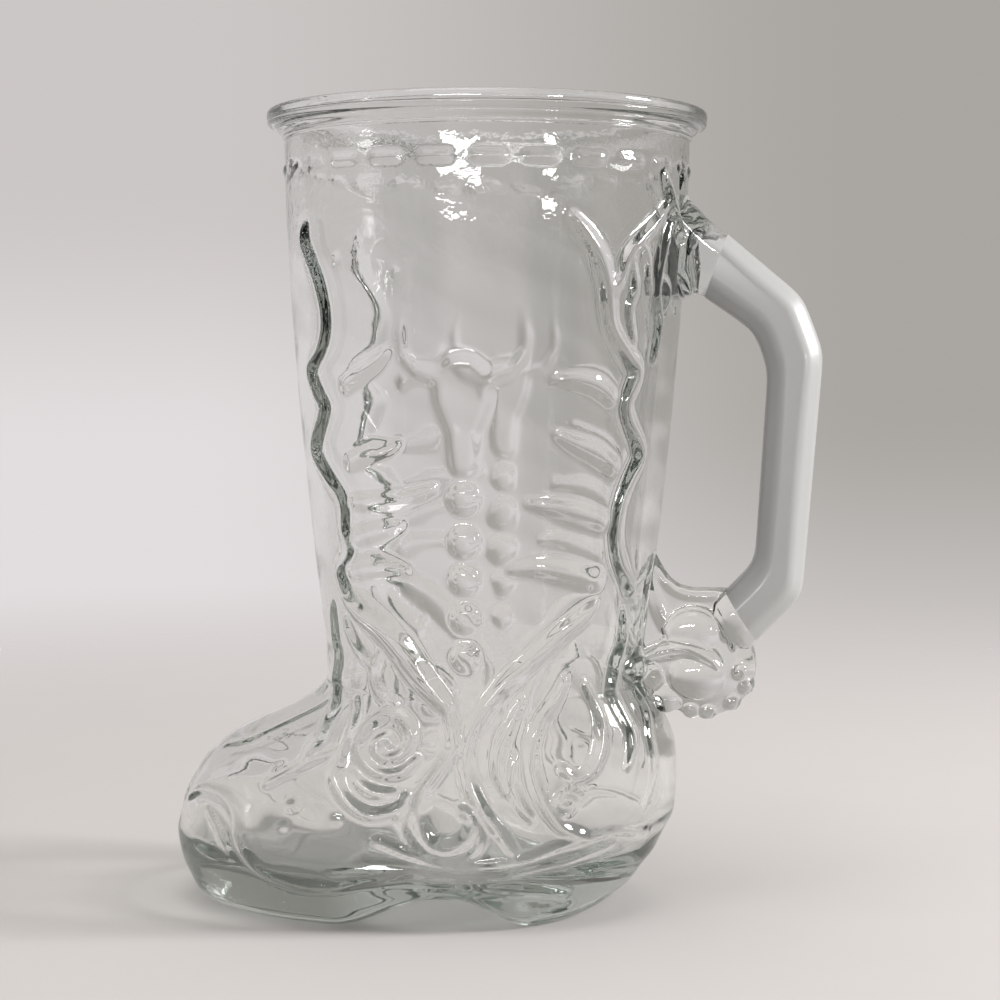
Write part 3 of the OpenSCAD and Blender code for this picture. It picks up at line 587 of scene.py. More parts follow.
def finish_piece(obj, slot, *nodes):
    """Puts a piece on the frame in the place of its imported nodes."""
    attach(obj, "root")
    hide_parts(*nodes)
    return obj


def tree_of(obj):
    """A search tree over a piece's faces, in millimetres round the leg's axis."""
    points = [(v.co.x / MM - LEG_X, v.co.y / MM, v.co.z / MM) for v in obj.data.vertices]
    return BVHTree.FromPolygons(points, [p.vertices for p in obj.data.polygons])


def read_floats(items, name, wide=3):
    """A float property of many mesh items, as rows."""
    values = np.zeros(len(items) * wide)
    items.foreach_get(name, values)
    return values.reshape(-1, wide)


def fuse_joint(obj, tree, box=None):
    """Runs a piece's mesh along the line where it meets other glass, and marks its faces under that line."""
    mesh = obj.data
    co = read_floats(mesh.vertices, "co") / MM - (LEG_X, 0, 0)
    corner = np.zeros(len(mesh.loops), np.int32)
    mesh.loops.foreach_get("vertex_index", corner)
    normals = np.zeros_like(co)
    normals[corner] = read_floats(mesh.corner_normals, "vector")
    # distance of each vertex from the other glass, below zero inside it
    side = np.full(len(co), 99.0)
    close = np.arange(len(co)) if box is None else np.flatnonzero(np.all((co > box[0]) & (co < box[1]), axis=1))
    for i in close:
        point = Vector(co[i])
        hit, normal, _, far = tree.find_nearest(point)
        side[i] = far if (point - hit).dot(normal) > 0 else -far
    # each edge that crosses the line gives it its nearer end
    ends = np.zeros(len(mesh.edges) * 2, np.int32)
    mesh.edges.foreach_get("vertices", ends)
    a, b = ends.reshape(-1, 2).T
    crosses = side[a] * side[b] < 0
    a, b = a[crosses], b[crosses]
    share = side[a] / (side[a] - side[b])
    place = co[a] + share[:, None] * (co[b] - co[a])
    moved = np.where(share < 0.5, a, b)
    step = np.linalg.norm(place - co[moved], axis=1)
    order = np.argsort(-step, kind="stable")
    co[moved[order]] = place[order]
    side[moved] = 0
    faces, slots = [], []
    for p in mesh.polygons:
        v = tuple(p.vertices)
        parts = [v]
        if len(v) == 4:
            d = side[list(v)]
            if d[0] == 0 and d[2] == 0 and d[1] * d[3] < 0:
                parts = [(v[0], v[1], v[2]), (v[0], v[2], v[3])]
            elif d[1] == 0 and d[3] == 0 and d[0] * d[2] < 0:
                parts = [(v[1], v[2], v[3]), (v[1], v[3], v[0])]
        for part in parts:
            faces.append(part)
            slots.append(1 if p.material_index or side[list(part)].sum() < 0 else 0)
    if not any(slots):
        raise RuntimeError(f"{obj.name} doesn't meet the glass that carries it")
    name, materials = obj.name, list(mesh.materials)
    obj.data = mesh_data(f"{name}_joined", co, faces, materials, slots, normals)
    bpy.data.meshes.remove(mesh)


# ---- leg and foot
def arch(x):
    """Height of the arch under the foot."""
    return 5.4 * smoothstep((x + 27) / 20) * (1 - smoothstep((x + 3.0) / 15.0))


def boot_grids(s):
    """Outer and inner skins of the boot as closed rings, with their normals."""
    foot = np.concatenate([
        np.linspace(0, 1.2, 4), np.linspace(1.8, s.floor_z, 13), np.linspace(s.floor_z, s.ankle_z, 66)[1:]])
    leg = np.linspace(s.ankle_z, s.leg_top_z, 166)
    heights = np.concatenate([foot, leg[1:]])
    half = half_grid(s, heights, s.columns)
    bare = whole_ring(half)
    bare_n = ring_normals(bare)
    raised = soften(relief_map(s, half, heights), 1)
    wide = whole_ring(raised, 1) * smoothstep((heights - 2.5) / 5.5)[:, None]
    fade = smoothstep((s.leg_top_z - heights) / 5)[:, None] * smoothstep(heights / 3)[:, None]
    strength = 1 + 1.8 * smoothstep((s.ankle_z + 12 - heights) / 20)[:, None]
    outer = bare + bare_n * (wide + swirl(bare, s.swirl) * fade * strength)[..., None]
    outer[0, :, 2] = 0
    low = heights < s.floor_z
    lift = arch(outer[low][..., 0])
    outer[low, :, 2] = lift + outer[low][..., 2] * (s.floor_z - lift) / s.floor_z
    outer_n = ring_normals(outer)
    first = int(np.searchsorted(heights, s.floor_z - 1e-6))
    neck = int(np.searchsorted(heights, s.ankle_z - 1e-6))
    foot_z = heights[first:neck + 1]
    wall = s.foot_wall_t + (s.leg_wall_t - s.foot_wall_t) * smoothstep((foot_z - 38) / 7)
    level = bare_n[first:neck + 1].copy()
    tilt = smoothstep((foot_z - s.floor_z) / 6) * smoothstep((s.ankle_z - foot_z) / 4)
    level[..., 2] *= tilt[:, None]
    level /= np.linalg.norm(level, axis=2, keepdims=True)
    corner = 4.5 * (1 - np.sqrt(np.clip(1 - ((s.floor_z + 5.5 - foot_z) / 5.5).clip(0, 1) ** 2, 0, 1)))
    inner = bare[first:neck + 1] - level * (wall + corner)[:, None, None]
    calm = (tilt * smoothstep((foot_z - 12) / 6))[:, None, None]
    inner -= level * swirl(inner * 0.8 + 7, s.swirl * 1.2)[..., None] * calm
    inner[..., 2] = np.maximum(inner[..., 2], s.floor_z)
    sparse = np.linspace(s.ankle_z, s.leg_top_z, 42)
    turn = np.arctan2(bare[neck, :, 1], bare[neck, :, 0])
    r = leg_radius(s, sparse)[:, None] - s.leg_wall_t
    lining = np.stack([r * np.cos(turn), r * np.sin(turn), np.repeat(sparse[:, None], len(turn), 1)], 2)
    fade = smoothstep((s.leg_top_z - sparse) / 8) * smoothstep((sparse - s.ankle_z) / 8)
    out = lining * (1, 1, 0) / r[..., None]
    lining += out * (swirl(lining * 0.6 + 11, s.swirl * 1.2) * fade[:, None])[..., None]
    cavity = np.concatenate([inner, lining[1:]])
    cavity_n = -ring_normals(cavity)
    return SimpleNamespace(
        outer=outer, outer_n=outer_n, inner=cavity, inner_n=cavity_n,
        first=first, neck=neck, inner_neck=neck - first, bare=bare,
    )


def wall_piece(name, outer, outer_n, inner, inner_n, materials, closed):
    """A closed wall between two skins; its cut edges are joints."""
    skin = Skin()
    o, i = skin.add(outer, outer_n), skin.add(inner, inner_n)
    skin.quads(o, closed)
    skin.quads(i, closed, flip=True)
    skin.quads(np.stack([i[0], o[0]]), closed, slot=1)
    skin.quads(np.stack([o[-1], i[-1]]), closed, slot=1)
    if not closed:
        skin.quads(np.stack([o[:, 0], i[:, 0]]), slot=1)
        skin.quads(np.stack([i[:, -1], o[:, -1]]), slot=1)
    return skin.build(name, materials)


def shrunk(ring, steps, z_of):
    """Rings that close in from a ring to the leg's axis."""
    k = 1 - np.arange(1, steps + 1) / (steps + 1)
    grid = ring[None] * k[:, None, None]
    grid[..., 2] = z_of(grid)
    return grid


def rounded_profile(corners, rounds=2):
    """A line through corners with each corner cut off again and again; its ends stay."""
    line = np.array(corners, float)
    for _ in range(rounds):
        near, far = 0.75 * line[:-1] + 0.25 * line[1:], 0.25 * line[:-1] + 0.75 * line[1:]
        line = np.vstack([line[:1], np.stack([near, far], 1).reshape(-1, 2), line[-1:]])
    return line


def make_boot(s, clear):
    """Lip, leg, foot halves and base."""
    g = boot_grids(s)
    # the second slot holds the joints until mark_fused turns them into a mark
    glass = [clear, clear]
    cols = s.columns
    n = 4 * cols
    # lip: a profile from the leg's outer edge over the bead and down inside
    top, lip, mouth = s.leg_top_d / 2, s.bead_d / 2, s.mouth_d / 2
    collar, low, high, bead = s.collar_d / 2, s.leg_top_z, s.boot_h, s.bead_z
    inside = top - s.leg_wall_t
    profile = rounded_profile([
        (top, low), (top + 0.06, low + 0.1), (top + 0.42, low + 0.2), (top + 0.42, low + 0.52),
        (top + 0.2, low + 0.62), (top + 0.32, low + 0.8), (collar - 0.05, bead - 0.5), (collar - 0.22, bead - 0.12),
        (collar + 0.1, bead + 0.02), (lip - 0.62, bead + 0.2), (lip - 0.2, bead + 0.62), (lip - 0.14, bead + 1.08),
        (lip - 0.34, bead + 1.24), (lip - 0.08, bead + 1.4), (lip, high - 1.5), (lip - 0.02, high - 0.72),
        (lip - 0.34, high - 0.2), (lip - 1.0, high), (lip - 1.9, high - 0.02), (lip - 2.15, high - 0.2),
        (lip - 2.45, high - 0.06), (mouth + 1.6, high - 0.02), (mouth + 0.5, high - 0.25), (mouth + 0.04, high - 1.0),
        (mouth, high - 1.9), (mouth - 0.05, bead), (mouth - 0.3, bead - 0.9), (inside + 0.1, low + 0.5), (inside, low)])
    turn = np.arctan2(g.bare[g.neck, :, 1], g.bare[g.neck, :, 0])
    ring = np.stack([
        profile[:, :1] * np.cos(turn), profile[:, :1] * np.sin(turn), np.repeat(profile[:, 1:], n, 1)], 2)
    normals = ring_normals(ring)
    normals[0], normals[-1] = g.outer_n[-1], g.inner_n[-1]
    skin = Skin()
    ids = skin.add(ring, normals)
    skin.quads(ids, True)
    skin.quads(np.stack([ids[-1], ids[0]]), True, slot=1)
    pieces = [finish_piece(skin.build("glass_lip", glass), "clear_glass", "rim_bead", "rim_collar")]
    # leg
    up, inner_up = slice(g.neck, None), slice(g.inner_neck, None)
    leg = wall_piece("glass_leg", g.outer[up], g.outer_n[up], g.inner[inner_up], g.inner_n[inner_up], glass, True)
    finish_piece(
        leg, "clear_glass", "leg_wall", "top_stitching", "steer_skulls", "studs", "front_scallops", "back_scallops",
        "front_fringe", "back_fringe", "chevrons", "spur_strap")
    # foot halves, cut at the middle of each side
    rows, inner_rows = slice(g.first, g.neck + 1), slice(0, g.inner_neck + 1)
    skins = g.outer[rows], g.outer_n[rows], g.inner[inner_rows], g.inner_n[inner_rows]
    foot = []
    for name, pick, nodes in (
        ("glass_vamp", np.arange(2 * cols, n + 1) % n, ("vamp_shell",)),
        ("glass_counter", np.arange(0, 2 * cols + 1), ("counter_shell", "welt")),
    ):
        piece = wall_piece(name, *(grid[:, pick] for grid in skins), glass, False)
        foot.append(finish_piece(piece, "clear_glass", *nodes))
    # base: pads, arch and the floor of the foot
    skin = Skin()
    side = g.outer[:g.first + 1]
    o = skin.add(side, g.outer_n[:g.first + 1])
    skin.quads(o, True)
    under = shrunk(g.outer[0], 60, lambda p: arch(p[..., 0]))
    down = np.zeros_like(under)
    slope = (arch(under[..., 0] + 0.2) - arch(under[..., 0] - 0.2)) / 0.4
    down[..., 0], down[..., 2] = slope, -1
    down /= np.linalg.norm(down, axis=2, keepdims=True)
    u = skin.add(under, down)
    skin.quads(np.concatenate([o[:1], u]), True, flip=True)
    skin.fan(u[-1], (0, 0, arch(np.array(0.0))), (0, 0, -1), flip=True)
    rim = g.inner[:1]
    i = skin.add(rim, np.broadcast_to((0.0, 0.0, 1.0), rim.shape))
    skin.quads(np.concatenate([o[-1:], i]), True, slot=1)
    floor = shrunk(g.inner[0], 22, lambda p: s.floor_z)
    f = skin.add(floor, np.broadcast_to((0.0, 0.0, 1.0), floor.shape))
    skin.quads(np.concatenate([i, f]), True)
    skin.fan(f[-1], (0, 0, s.floor_z), (0, 0, 1))
    base = finish_piece(skin.build("glass_base", glass), "clear_glass", "foot_floor", "sole_pad", "heel_pad")
    return [*pieces, leg, *foot, base]


def outer_tree(s):
    """A search tree over the boot's outer skin alone."""
    grid = boot_grids(s).outer
    rows, cols, _ = grid.shape
    quads = tube_quads(np.arange(rows * cols).reshape(rows, cols))
    return BVHTree.FromPolygons(grid.reshape(-1, 3).tolist(), quads.tolist())


# ---- handle: stations of (middle in X and Z, slope of the long line, length), as in the part's source
ROOT = ((45.0, 126.2), 70.0, 12.9)
SHOULDER = ((57.1, 116.8), 35.0, 11.4)
TOP = ((60.5, 107.8), 18.0, 11.2)
LOW = ((57.7, 65.4), -34.2, 11.2)
FOOT = ((50.5, 58.0), -57.0, 11.2)
# The wheel's middle in X and Z
ROWEL = (43.2, 48.4)
HANDLE_RINGS, ROOT_RINGS = 210, 56
# The root on the leg: half height, half width, height of its middle, height and depth in the skin where it starts
ROOT_HALF_H, ROOT_HALF_W, ROOT_Z, ROOT_SKIN_Z, ROOT_SUNK = 12.2, 9.4, 130.0, 127.5, 1.6


def end_points(station):
    """Inner and outer end of a station's long line."""
    (x, z), slope, long = station
    a = math.radians(slope)
    half = np.array([math.cos(a), math.sin(a)]) * long / 2
    return np.array([x, z]) - half, np.array([x, z]) + half


def rounded_run(corners, radius, step=0.5):
    """A line through corners, evenly spaced, with each corner turned softly."""
    corners = np.array(corners)
    run = np.concatenate([[0], np.cumsum(np.linalg.norm(np.diff(corners, axis=0), axis=1))])
    at = np.linspace(0, run[-1], int(run[-1] / step))
    line = np.stack([np.interp(at, run, corners[:, k]) for k in (0, 1)], 1)
    reach = int(3 * radius / step)
    weight = np.exp(-0.5 * (np.arange(-reach, reach + 1) * step / radius) ** 2)
    wide = np.vstack([2 * line[0] - line[reach:0:-1], line, 2 * line[-1] - line[-2:-reach - 2:-1]])
    return np.stack([np.convolve(wide[:, k], weight / weight.sum(), "valid") for k in (0, 1)], 1)


def facet_outline(a, w, bevel, soft, per_corner=5):
    """A bevelled rectangle with rounded facets, from its half length and half width."""
    c = min(bevel, 0.8 * a, 0.8 * w)
    corners = np.array([
        (a, w - c), (a - c, w), (c - a, w), (-a, w - c), (-a, c - w), (c - a, -w), (a - c, -w), (a, c - w)])
    outline = []
    for before, here, after in zip(np.roll(corners, 1, 0), corners, np.roll(corners, -1, 0)):
        to, on = before - here, after - here
        cut = min(soft, 0.42 * np.linalg.norm(to), 0.42 * np.linalg.norm(on))
        p, q = here + to / np.linalg.norm(to) * cut, here + on / np.linalg.norm(on) * cut
        for t in np.linspace(0, 1, per_corner):
            outline.append((1 - t) ** 2 * p + 2 * t * (1 - t) * here + t * t * q)
    return np.array(outline)


def bar_rings(inner, outer, half_w, soft, bevel):
    """Rings of a bevelled bar through stations given by the inner and outer ends of their long lines."""
    rings = []
    for p, q, w, c in zip(inner, outer, half_w, bevel):
        mid, across = (p + q) / 2, (q - p) / 2
        a = np.linalg.norm(across)
        outline = facet_outline(a, w, c, soft)
        flat = mid + outline[:, :1] * across / a
        rings.append(np.stack([flat[:, 0], outline[:, 1], flat[:, 1]], 1))
    return np.array(rings)


def closed_bar(name, grid, materials, caps=(0, 0)):
    """A bar through rings, closed at both ends."""
    normals = ring_normals(grid)
    outward = np.sum((grid - grid.mean(1, keepdims=True)) * normals) > 0
    skin = Skin()
    ids = skin.add(grid, normals if outward else -normals)
    skin.quads(ids, True, flip=not outward)
    for row, slot in ((0, caps[0]), (-1, caps[1])):
        centre = grid[row].mean(0)
        face = np.cross(grid[row][1] - centre, grid[row][0] - centre)
        away = centre - grid[1 if row == 0 else -2].mean(0)
        face = face / np.linalg.norm(face)
        face = face if face @ away > 0 else -face
        # a little inside the end ring, so that the hard edge between them has no empty faces
        inset = centre + (grid[row] - centre) * 0.99
        ring = skin.add(inset[None], np.broadcast_to(face, grid[:1].shape))[0]
        skin.quads(np.stack([ids[row], ring]), True, flip=(row == 0) == outward, slot=slot)
        skin.fan(ring, centre, face, flip=(row == 0) == outward, slot=slot)
    return skin.build(name, materials)


def make_handle(s, satin):
    """The satin bar from the upper root to the spur's collar."""
    stations = [end_points(p) for p in (ROOT, SHOULDER, TOP, LOW, FOOT)]
    inner = rounded_run([p[0] for p in stations], s.corner_round)
    outer = rounded_run([p[1] for p in stations], s.corner_round)
    # keep the two lines in step at each station, and the rings evenly spaced
    marks = lambda line, corners: np.array([np.argmin(np.linalg.norm(line - c, axis=1)) for c in corners])
    i_mark, o_mark = marks(inner, [p[0] for p in stations]), marks(outer, [p[1] for p in stations])
    share = np.linspace(0, len(stations) - 1, HANDLE_RINGS)
    knots = np.arange(len(stations))
    walk = np.interp(share, knots, np.cumsum(np.concatenate([[0], np.diff(i_mark) + np.diff(o_mark)])) / 2)
    share = np.interp(np.linspace(0, walk[-1], HANDLE_RINGS), walk, share)
    pick = lambda line, mark: np.stack([
        np.interp(np.interp(share, knots, mark), np.arange(len(line)), line[:, k]) for k in (0, 1)], 1)
    w, bevel = np.full(HANDLE_RINGS, s.handle_w / 2), np.full(HANDLE_RINGS, s.bevel)
    rings = bar_rings(pick(inner, i_mark), pick(outer, o_mark), w, s.edge_round, bevel)
    handle = closed_bar("satin_handle", rings, [satin])
    return finish_piece(handle, "frosted_glass", "handle_arm", "handle_shoulder", "handle_grip", "handle_foot")


def make_root(s, clear, skin_tree):
    """The clear root that flares from the satin bar onto the leg."""
    k = np.linspace(0, 1, ROOT_RINGS)
    grow = (1 - k) ** 1.9
    (x1, z1), slope, long = ROOT
    x0, z0 = leg_radius(s, ROOT_SKIN_Z) - ROOT_SUNK, ROOT_Z
    mid = np.stack([x0 + (x1 - x0) * k, z0 + (z1 - z0) * k**1.3], 1)
    a = np.radians(90 + (slope - 90) * k**1.5)
    half = long / 2 + (ROOT_HALF_H - long / 2) * grow
    across = np.stack([np.cos(a), np.sin(a)], 1) * half[:, None]
    w = s.handle_w / 2 + (ROOT_HALF_W - s.handle_w / 2) * (1 - k) ** 1.1
    grid = bar_rings(mid - across, mid + across, w, 2.6, s.bevel + 0.6 * grow)
    # the first ring is bent into the middle of the leg's round wall
    y, z = grid[0, :, 1], grid[0, :, 2]
    seat = np.sqrt((leg_radius(s, z) - s.leg_wall_t / 2) ** 2 - y**2) - x0
    grid[..., 0] += seat * (1 - k[:, None]) ** 2
    root = closed_bar("glass_root", grid, [clear, clear], caps=(1, 1))
    fuse_joint(root, skin_tree)
    return finish_piece(root, "clear_glass", "handle_root")


def blob(parts, middle, size, power=2.0):
    """Adds a pebble to a list of meshes, round in the X and Z plane; more power flattens its faces."""
    turn, tip = np.linspace(0, 2 * math.pi, 33)[:-1], np.linspace(-math.pi / 2, math.pi / 2, 17)[1:-1]
    bend = lambda v: np.sign(v) * np.abs(v) ** (2 / power)
    c, t = np.meshgrid(turn, tip)
    grid = np.stack([np.cos(c) * bend(np.cos(t)), bend(np.sin(t)), np.sin(c) * bend(np.cos(t))], 2)
    grid = grid * np.array(size) + np.array(middle)
    rows, cols, _ = grid.shape
    ids = np.arange(rows * cols).reshape(rows, cols)
    parts.append((grid.reshape(-1, 3), tube_quads(ids).tolist() + [ids[0][::-1].tolist(), ids[-1].tolist()]))


def bar(parts, points, radii, deep=1.0, aside=0.0, sides=14):
    """Adds a bar of varying radius along the X and Z plane; deep stretches it across, aside moves it in Y."""
    run = through([(x, z, r) for (x, z), r in zip(points, radii)], 0.2)
    along = np.gradient(run[:, :2], axis=0)
    along /= np.linalg.norm(along, axis=1, keepdims=True)
    side = np.stack([-along[:, 1], along[:, 0]], 1)
    turn = np.linspace(0, 2 * math.pi, sides + 1)[:-1]
    rings = []
    for p, n, r in zip(run[:, :2], side, run[:, 2]):
        ring = p + np.outer(np.cos(turn) * r, n)
        rings.append(np.stack([ring[:, 0], np.sin(turn) * r * deep, ring[:, 1]], 1))
    grid = np.array(rings)
    rows, cols, _ = grid.shape
    ids = np.arange(rows * cols).reshape(rows, cols)
    faces = tube_quads(ids)[:, [0, 3, 2, 1]].tolist()
    parts.append((grid.reshape(-1, 3) + (0, aside, 0), faces + [ids[0].tolist(), ids[-1][::-1].tolist()]))


def prism(parts, near, far):
    """Adds a closed solid between two like outlines."""
    n = len(near)
    faces = [[j, (j + 1) % n, n + (j + 1) % n, n + j] for j in range(n)]
    parts.append((np.vstack([near, far]), faces + [list(range(n))[::-1], list(range(n, 2 * n))]))


# The spur, in millimetres from the wheel's middle. Its knobs, by their angles in degrees
KNOBS = (-150, -127, -104, -84, -52, -26)
# The winding bar on each side, in X and Z, and its radii
STRAP = ((-13.4, -0.2), (-11, 1.6), (-6.6, 3.0), (-2.6, 3.1), (1.2, 1.4), (3.2, -0.6))
STRAP_R = (0.9, 1.3, 1.35, 1.25, 1.1, 0.6)
# The bar that runs down the leg, from the leg's skin in X and the wheel's middle in Z
FLOW = ((-1, 19), (1.4, 12), (3.6, 7), (5.0, 4.2))
FLOW_R = (0.8, 1.5, 1.4, 0.8)
# The finger gap's lower edge: shares of the way from leg to collar and of its rise
GAP_CURVE = ((0, 1.0), (0.07, 0.66), (0.2, 0.3), (0.36, 0.08), (0.55, 0), (0.8, 0), (1, 0))
GAP_RISE, GAP_Z, WEB_INNER_X, WEB_HALF_Y = 8.2, 14.7, 30.2, 3.4
# The collar's rings: place along the handle's foot, and how much wider than the handle
COLLAR = ((-4.6, -1.1), (-3.4, -0.35), (-2.2, 0.05), (-1.0, 0.1), (0.35, -0.05))
COLLAR_HALF_T, COLLAR_TURN = 0.75, 45


def make_spur(s, clear, skin_tree):
    """Wheel, collar and web of the spur as one body of fused glass."""
    parts = []
    cx, cz = ROWEL
    r = s.rowel_d / 2
    skin_side = leg_radius(s, cz + 10)
    blob(parts, (cx, 0, cz), (r + 1.0, 5.1, r + 1.0), 3.2)
    for a in np.radians(KNOBS):
        blob(parts, (cx + (r - 0.5) * math.cos(a), 0, cz + (r - 0.5) * math.sin(a)), (2.15, 4.7, 2.15), 2.6)
    # two domes, a drop, a pebble and two lumps of the ring on each side
    dome = 0.2 + s.button_raise
    pebbles = (
        ((-2.0, 4.0, 6.0), (5.2, dome, 4.9), 2.5), ((-0.9, 4.0, -2.3), (5.2, dome, 4.2), 2.5),
        ((6.0, 4.8, 4.9), (0.8, 0.8, 1.8), 2.0), ((7.2, 4.8, -1.1), (1.3, 0.7, 1.3), 2.0),
        ((-7.2, 3.4, -7.2), (2.4, 1.9, 2.4), 2.0), ((-9.4, 3.4, -2.6), (2.1, 1.9, 2.1), 2.0),
    )
    for side in (-1, 1):
        for (x, y, z), size, power in pebbles:
            blob(parts, (cx + x, side * y, cz + z), size, power)
        bar(parts, [(cx + x, cz + z) for x, z in STRAP], STRAP_R, aside=side * 5.2)
        bar(parts, [(skin_side + x, cz + z) for x, z in FLOW], FLOW_R, aside=side * 2.5)
    # web under the finger gap
    dip, (fx, fz) = cz + GAP_Z, FOOT[0]
    skin_x, top_x = leg_radius(s, dip), fx - 3.0
    gap = [(skin_x + (top_x - skin_x) * p, dip + GAP_RISE * q) for p, q in GAP_CURVE]
    outline = np.array(
        [(cx, cz - 6), (WEB_INNER_X, cz - 6), (WEB_INNER_X, dip + GAP_RISE), *gap, (fx, fz)], float)
    prism(parts, *(np.insert(outline, 1, y, axis=1) for y in (-WEB_HALF_Y, WEB_HALF_Y)))
    bar(parts, [(x, z - 1.3) for x, z in gap], (0.7, 1.1, 1.3, 1.3, 1.3, 1.3, 1.2), 2.9)
    # collar: one band between two grooves, along the handle's foot
    a, lean = math.radians(COLLAR_TURN), math.radians(FOOT[1])
    way, across = np.array([math.cos(a), math.sin(a)]), np.array([math.cos(lean), math.sin(lean)])
    for off, wide in COLLAR:
        mid = np.array(FOOT[0]) + way * off
        ring = facet_outline(FOOT[2] / 2 + wide, s.handle_w / 2 + wide, s.bevel, 1.5)
        ends = []
        for step in (-COLLAR_HALF_T, COLLAR_HALF_T):
            flat = mid + way * step + ring[:, :1] * across
            ends.append(np.stack([flat[:, 0], ring[:, 1], flat[:, 1]], 1))
        prism(parts, *ends)
    bm = bmesh.new()
    for points, faces in parts:
        corners = [bm.verts.new(p) for p in points]
        for f in faces:
            bm.faces.new([corners[j] for j in f])
    bmesh.ops.recalc_face_normals(bm, faces=bm.faces)
    mesh = bpy.data.meshes.new("spur_blank")
    bm.to_mesh(mesh)
    bm.free()
    blank = bpy.data.objects.new("spur_blank", mesh)
    bpy.context.scene.collection.objects.link(blank)
    fuse = blank.modifiers.new("fuse", "REMESH")
    fuse.mode, fuse.voxel_size = "VOXEL", s.spur_grain
    soft = blank.modifiers.new("soft", "SMOOTH")
    soft.factor, soft.iterations = 0.5, 5
    shape = blank.evaluated_get(bpy.context.evaluated_depsgraph_get()).to_mesh()
    points = np.array([v.co for v in shape.vertices])
    faces = [list(p.vertices) for p in shape.polygons]
    bpy.data.objects.remove(blank)
    spur = mesh_object("glass_spur", points, faces, [clear, clear])
    fuse_joint(spur, skin_tree)
    return finish_piece(spur, "clear_glass", "spur_shank", "spur_collar", "spur_rowel", "spur_buttons")


def open_skin(skin_pieces, carried):
    """Opens the boot's skin to the glass that is fused onto it."""
    for other in carried:
        tree = tree_of(other)
        co = read_floats(other.data.vertices, "co") / MM - (LEG_X, 0, 0)
        box = co.min(0) - 1.5, co.max(0) + 1.5
        for obj in skin_pieces:
            skin = read_floats(obj.data.vertices, "co") / MM - (LEG_X, 0, 0)
            if np.any(np.all((skin > box[0]) & (skin < box[1]), axis=1)):
                fuse_joint(obj, tree, box)


def mark_fused(obj):
    """Keeps the joint's faces as a mark on one material, so the glass has one depth throughout."""
    mesh = obj.data
    joint = np.zeros(len(mesh.polygons), np.int32)
    mesh.polygons.foreach_get("material_index", joint)
    mesh.attributes.new("fused", "FLOAT", "FACE").data.foreach_set("value", joint.astype(np.float32))
    mesh.polygons.foreach_set("material_index", np.zeros(len(joint), np.int32))
    mesh.materials.pop(index=1)


# ---- materials
class Value:
    """A number that changes over a surface. Sums with it add Math nodes."""

    def __init__(self, graph, socket):
        self.graph, self.socket = graph, socket

    def _math(self, operation, a, b=None):
        given = {0: a} if b is None else {0: a, 1: b}
        return self.graph.value("ShaderNodeMath", {"operation": operation}, given)

    def __add__(self, other):
        return self._math("ADD", self, other)

    def __sub__(self, other):
        return self._math("SUBTRACT", self, other)

    def __rsub__(self, other):
        return self._math("SUBTRACT", other, self)

    def __mul__(self, other):
        return self._math("MULTIPLY", self, other)

    def __pow__(self, other):
        return self._math("POWER", self, other)

    __radd__ = __add__
    __rmul__ = __mul__

    def step(self, low, high):
        """Rises smoothly from 0 at low to 1 at high."""
        return self.graph.value(
            "ShaderNodeMapRange", {"interpolation_type": "SMOOTHSTEP"},
            {"Value": self, "From Min": low, "From Max": high}, "Result")


class Graph:
    """A node tree that is filled by type, settings and inputs."""

    def __init__(self, owner):
        owner.use_nodes = True
        self.tree = owner.node_tree
        self.tree.nodes.clear()

    def node(self, kind, settings=None, inputs=None):
        """A node by its type, its settings, and the values or links of its sockets."""
        made = self.tree.nodes.new(kind)
        for name, value in (settings or {}).items():
            setattr(made, name, value)
        for name, value in (inputs or {}).items():
            socket = made.inputs[name]
            if isinstance(value, Value):
                self.tree.links.new(value.socket, socket)
            elif isinstance(value, bpy.types.NodeSocket):
                self.tree.links.new(value, socket)
            elif socket.type == "RGBA" and len(value) == 3:
                socket.default_value = (*value, 1)
            else:
                socket.default_value = value
        return made

    def value(self, kind, settings=None, inputs=None, output=0):
        """One output of a new node, as a number to reckon with."""
        return Value(self, self.node(kind, settings, inputs).outputs[output])

    def noise(self, scale, detail=2.0, rough=0.5):
        """Noise in the piece's own coordinates."""
        inputs = {"Scale": scale, "Detail": detail, "Roughness": rough, "Vector": self.place()}
        return self.value("ShaderNodeTexNoise", {}, inputs, "Fac")

    def place(self):
        """Coordinates fixed to the piece."""
        return self.node("ShaderNodeTexCoord").outputs["Object"]

    def mix(self, factor, a, b):
        """Mixes two colours."""
        return self.node("ShaderNodeMix", {"data_type": "RGBA"}, {0: factor, 6: a, 7: b}).outputs[2]

    def surface(self, shader, kind="ShaderNodeOutputMaterial", depth=None):
        """Ends the tree with a surface and, for glass, its depth."""
        self.node(kind, {}, {"Surface": shader, "Volume": depth} if depth else {"Surface": shader})


def tinted(rgb, k):
    """A colour made lighter or darker."""
    return tuple(min(1.0, c * k) for c in rgb)


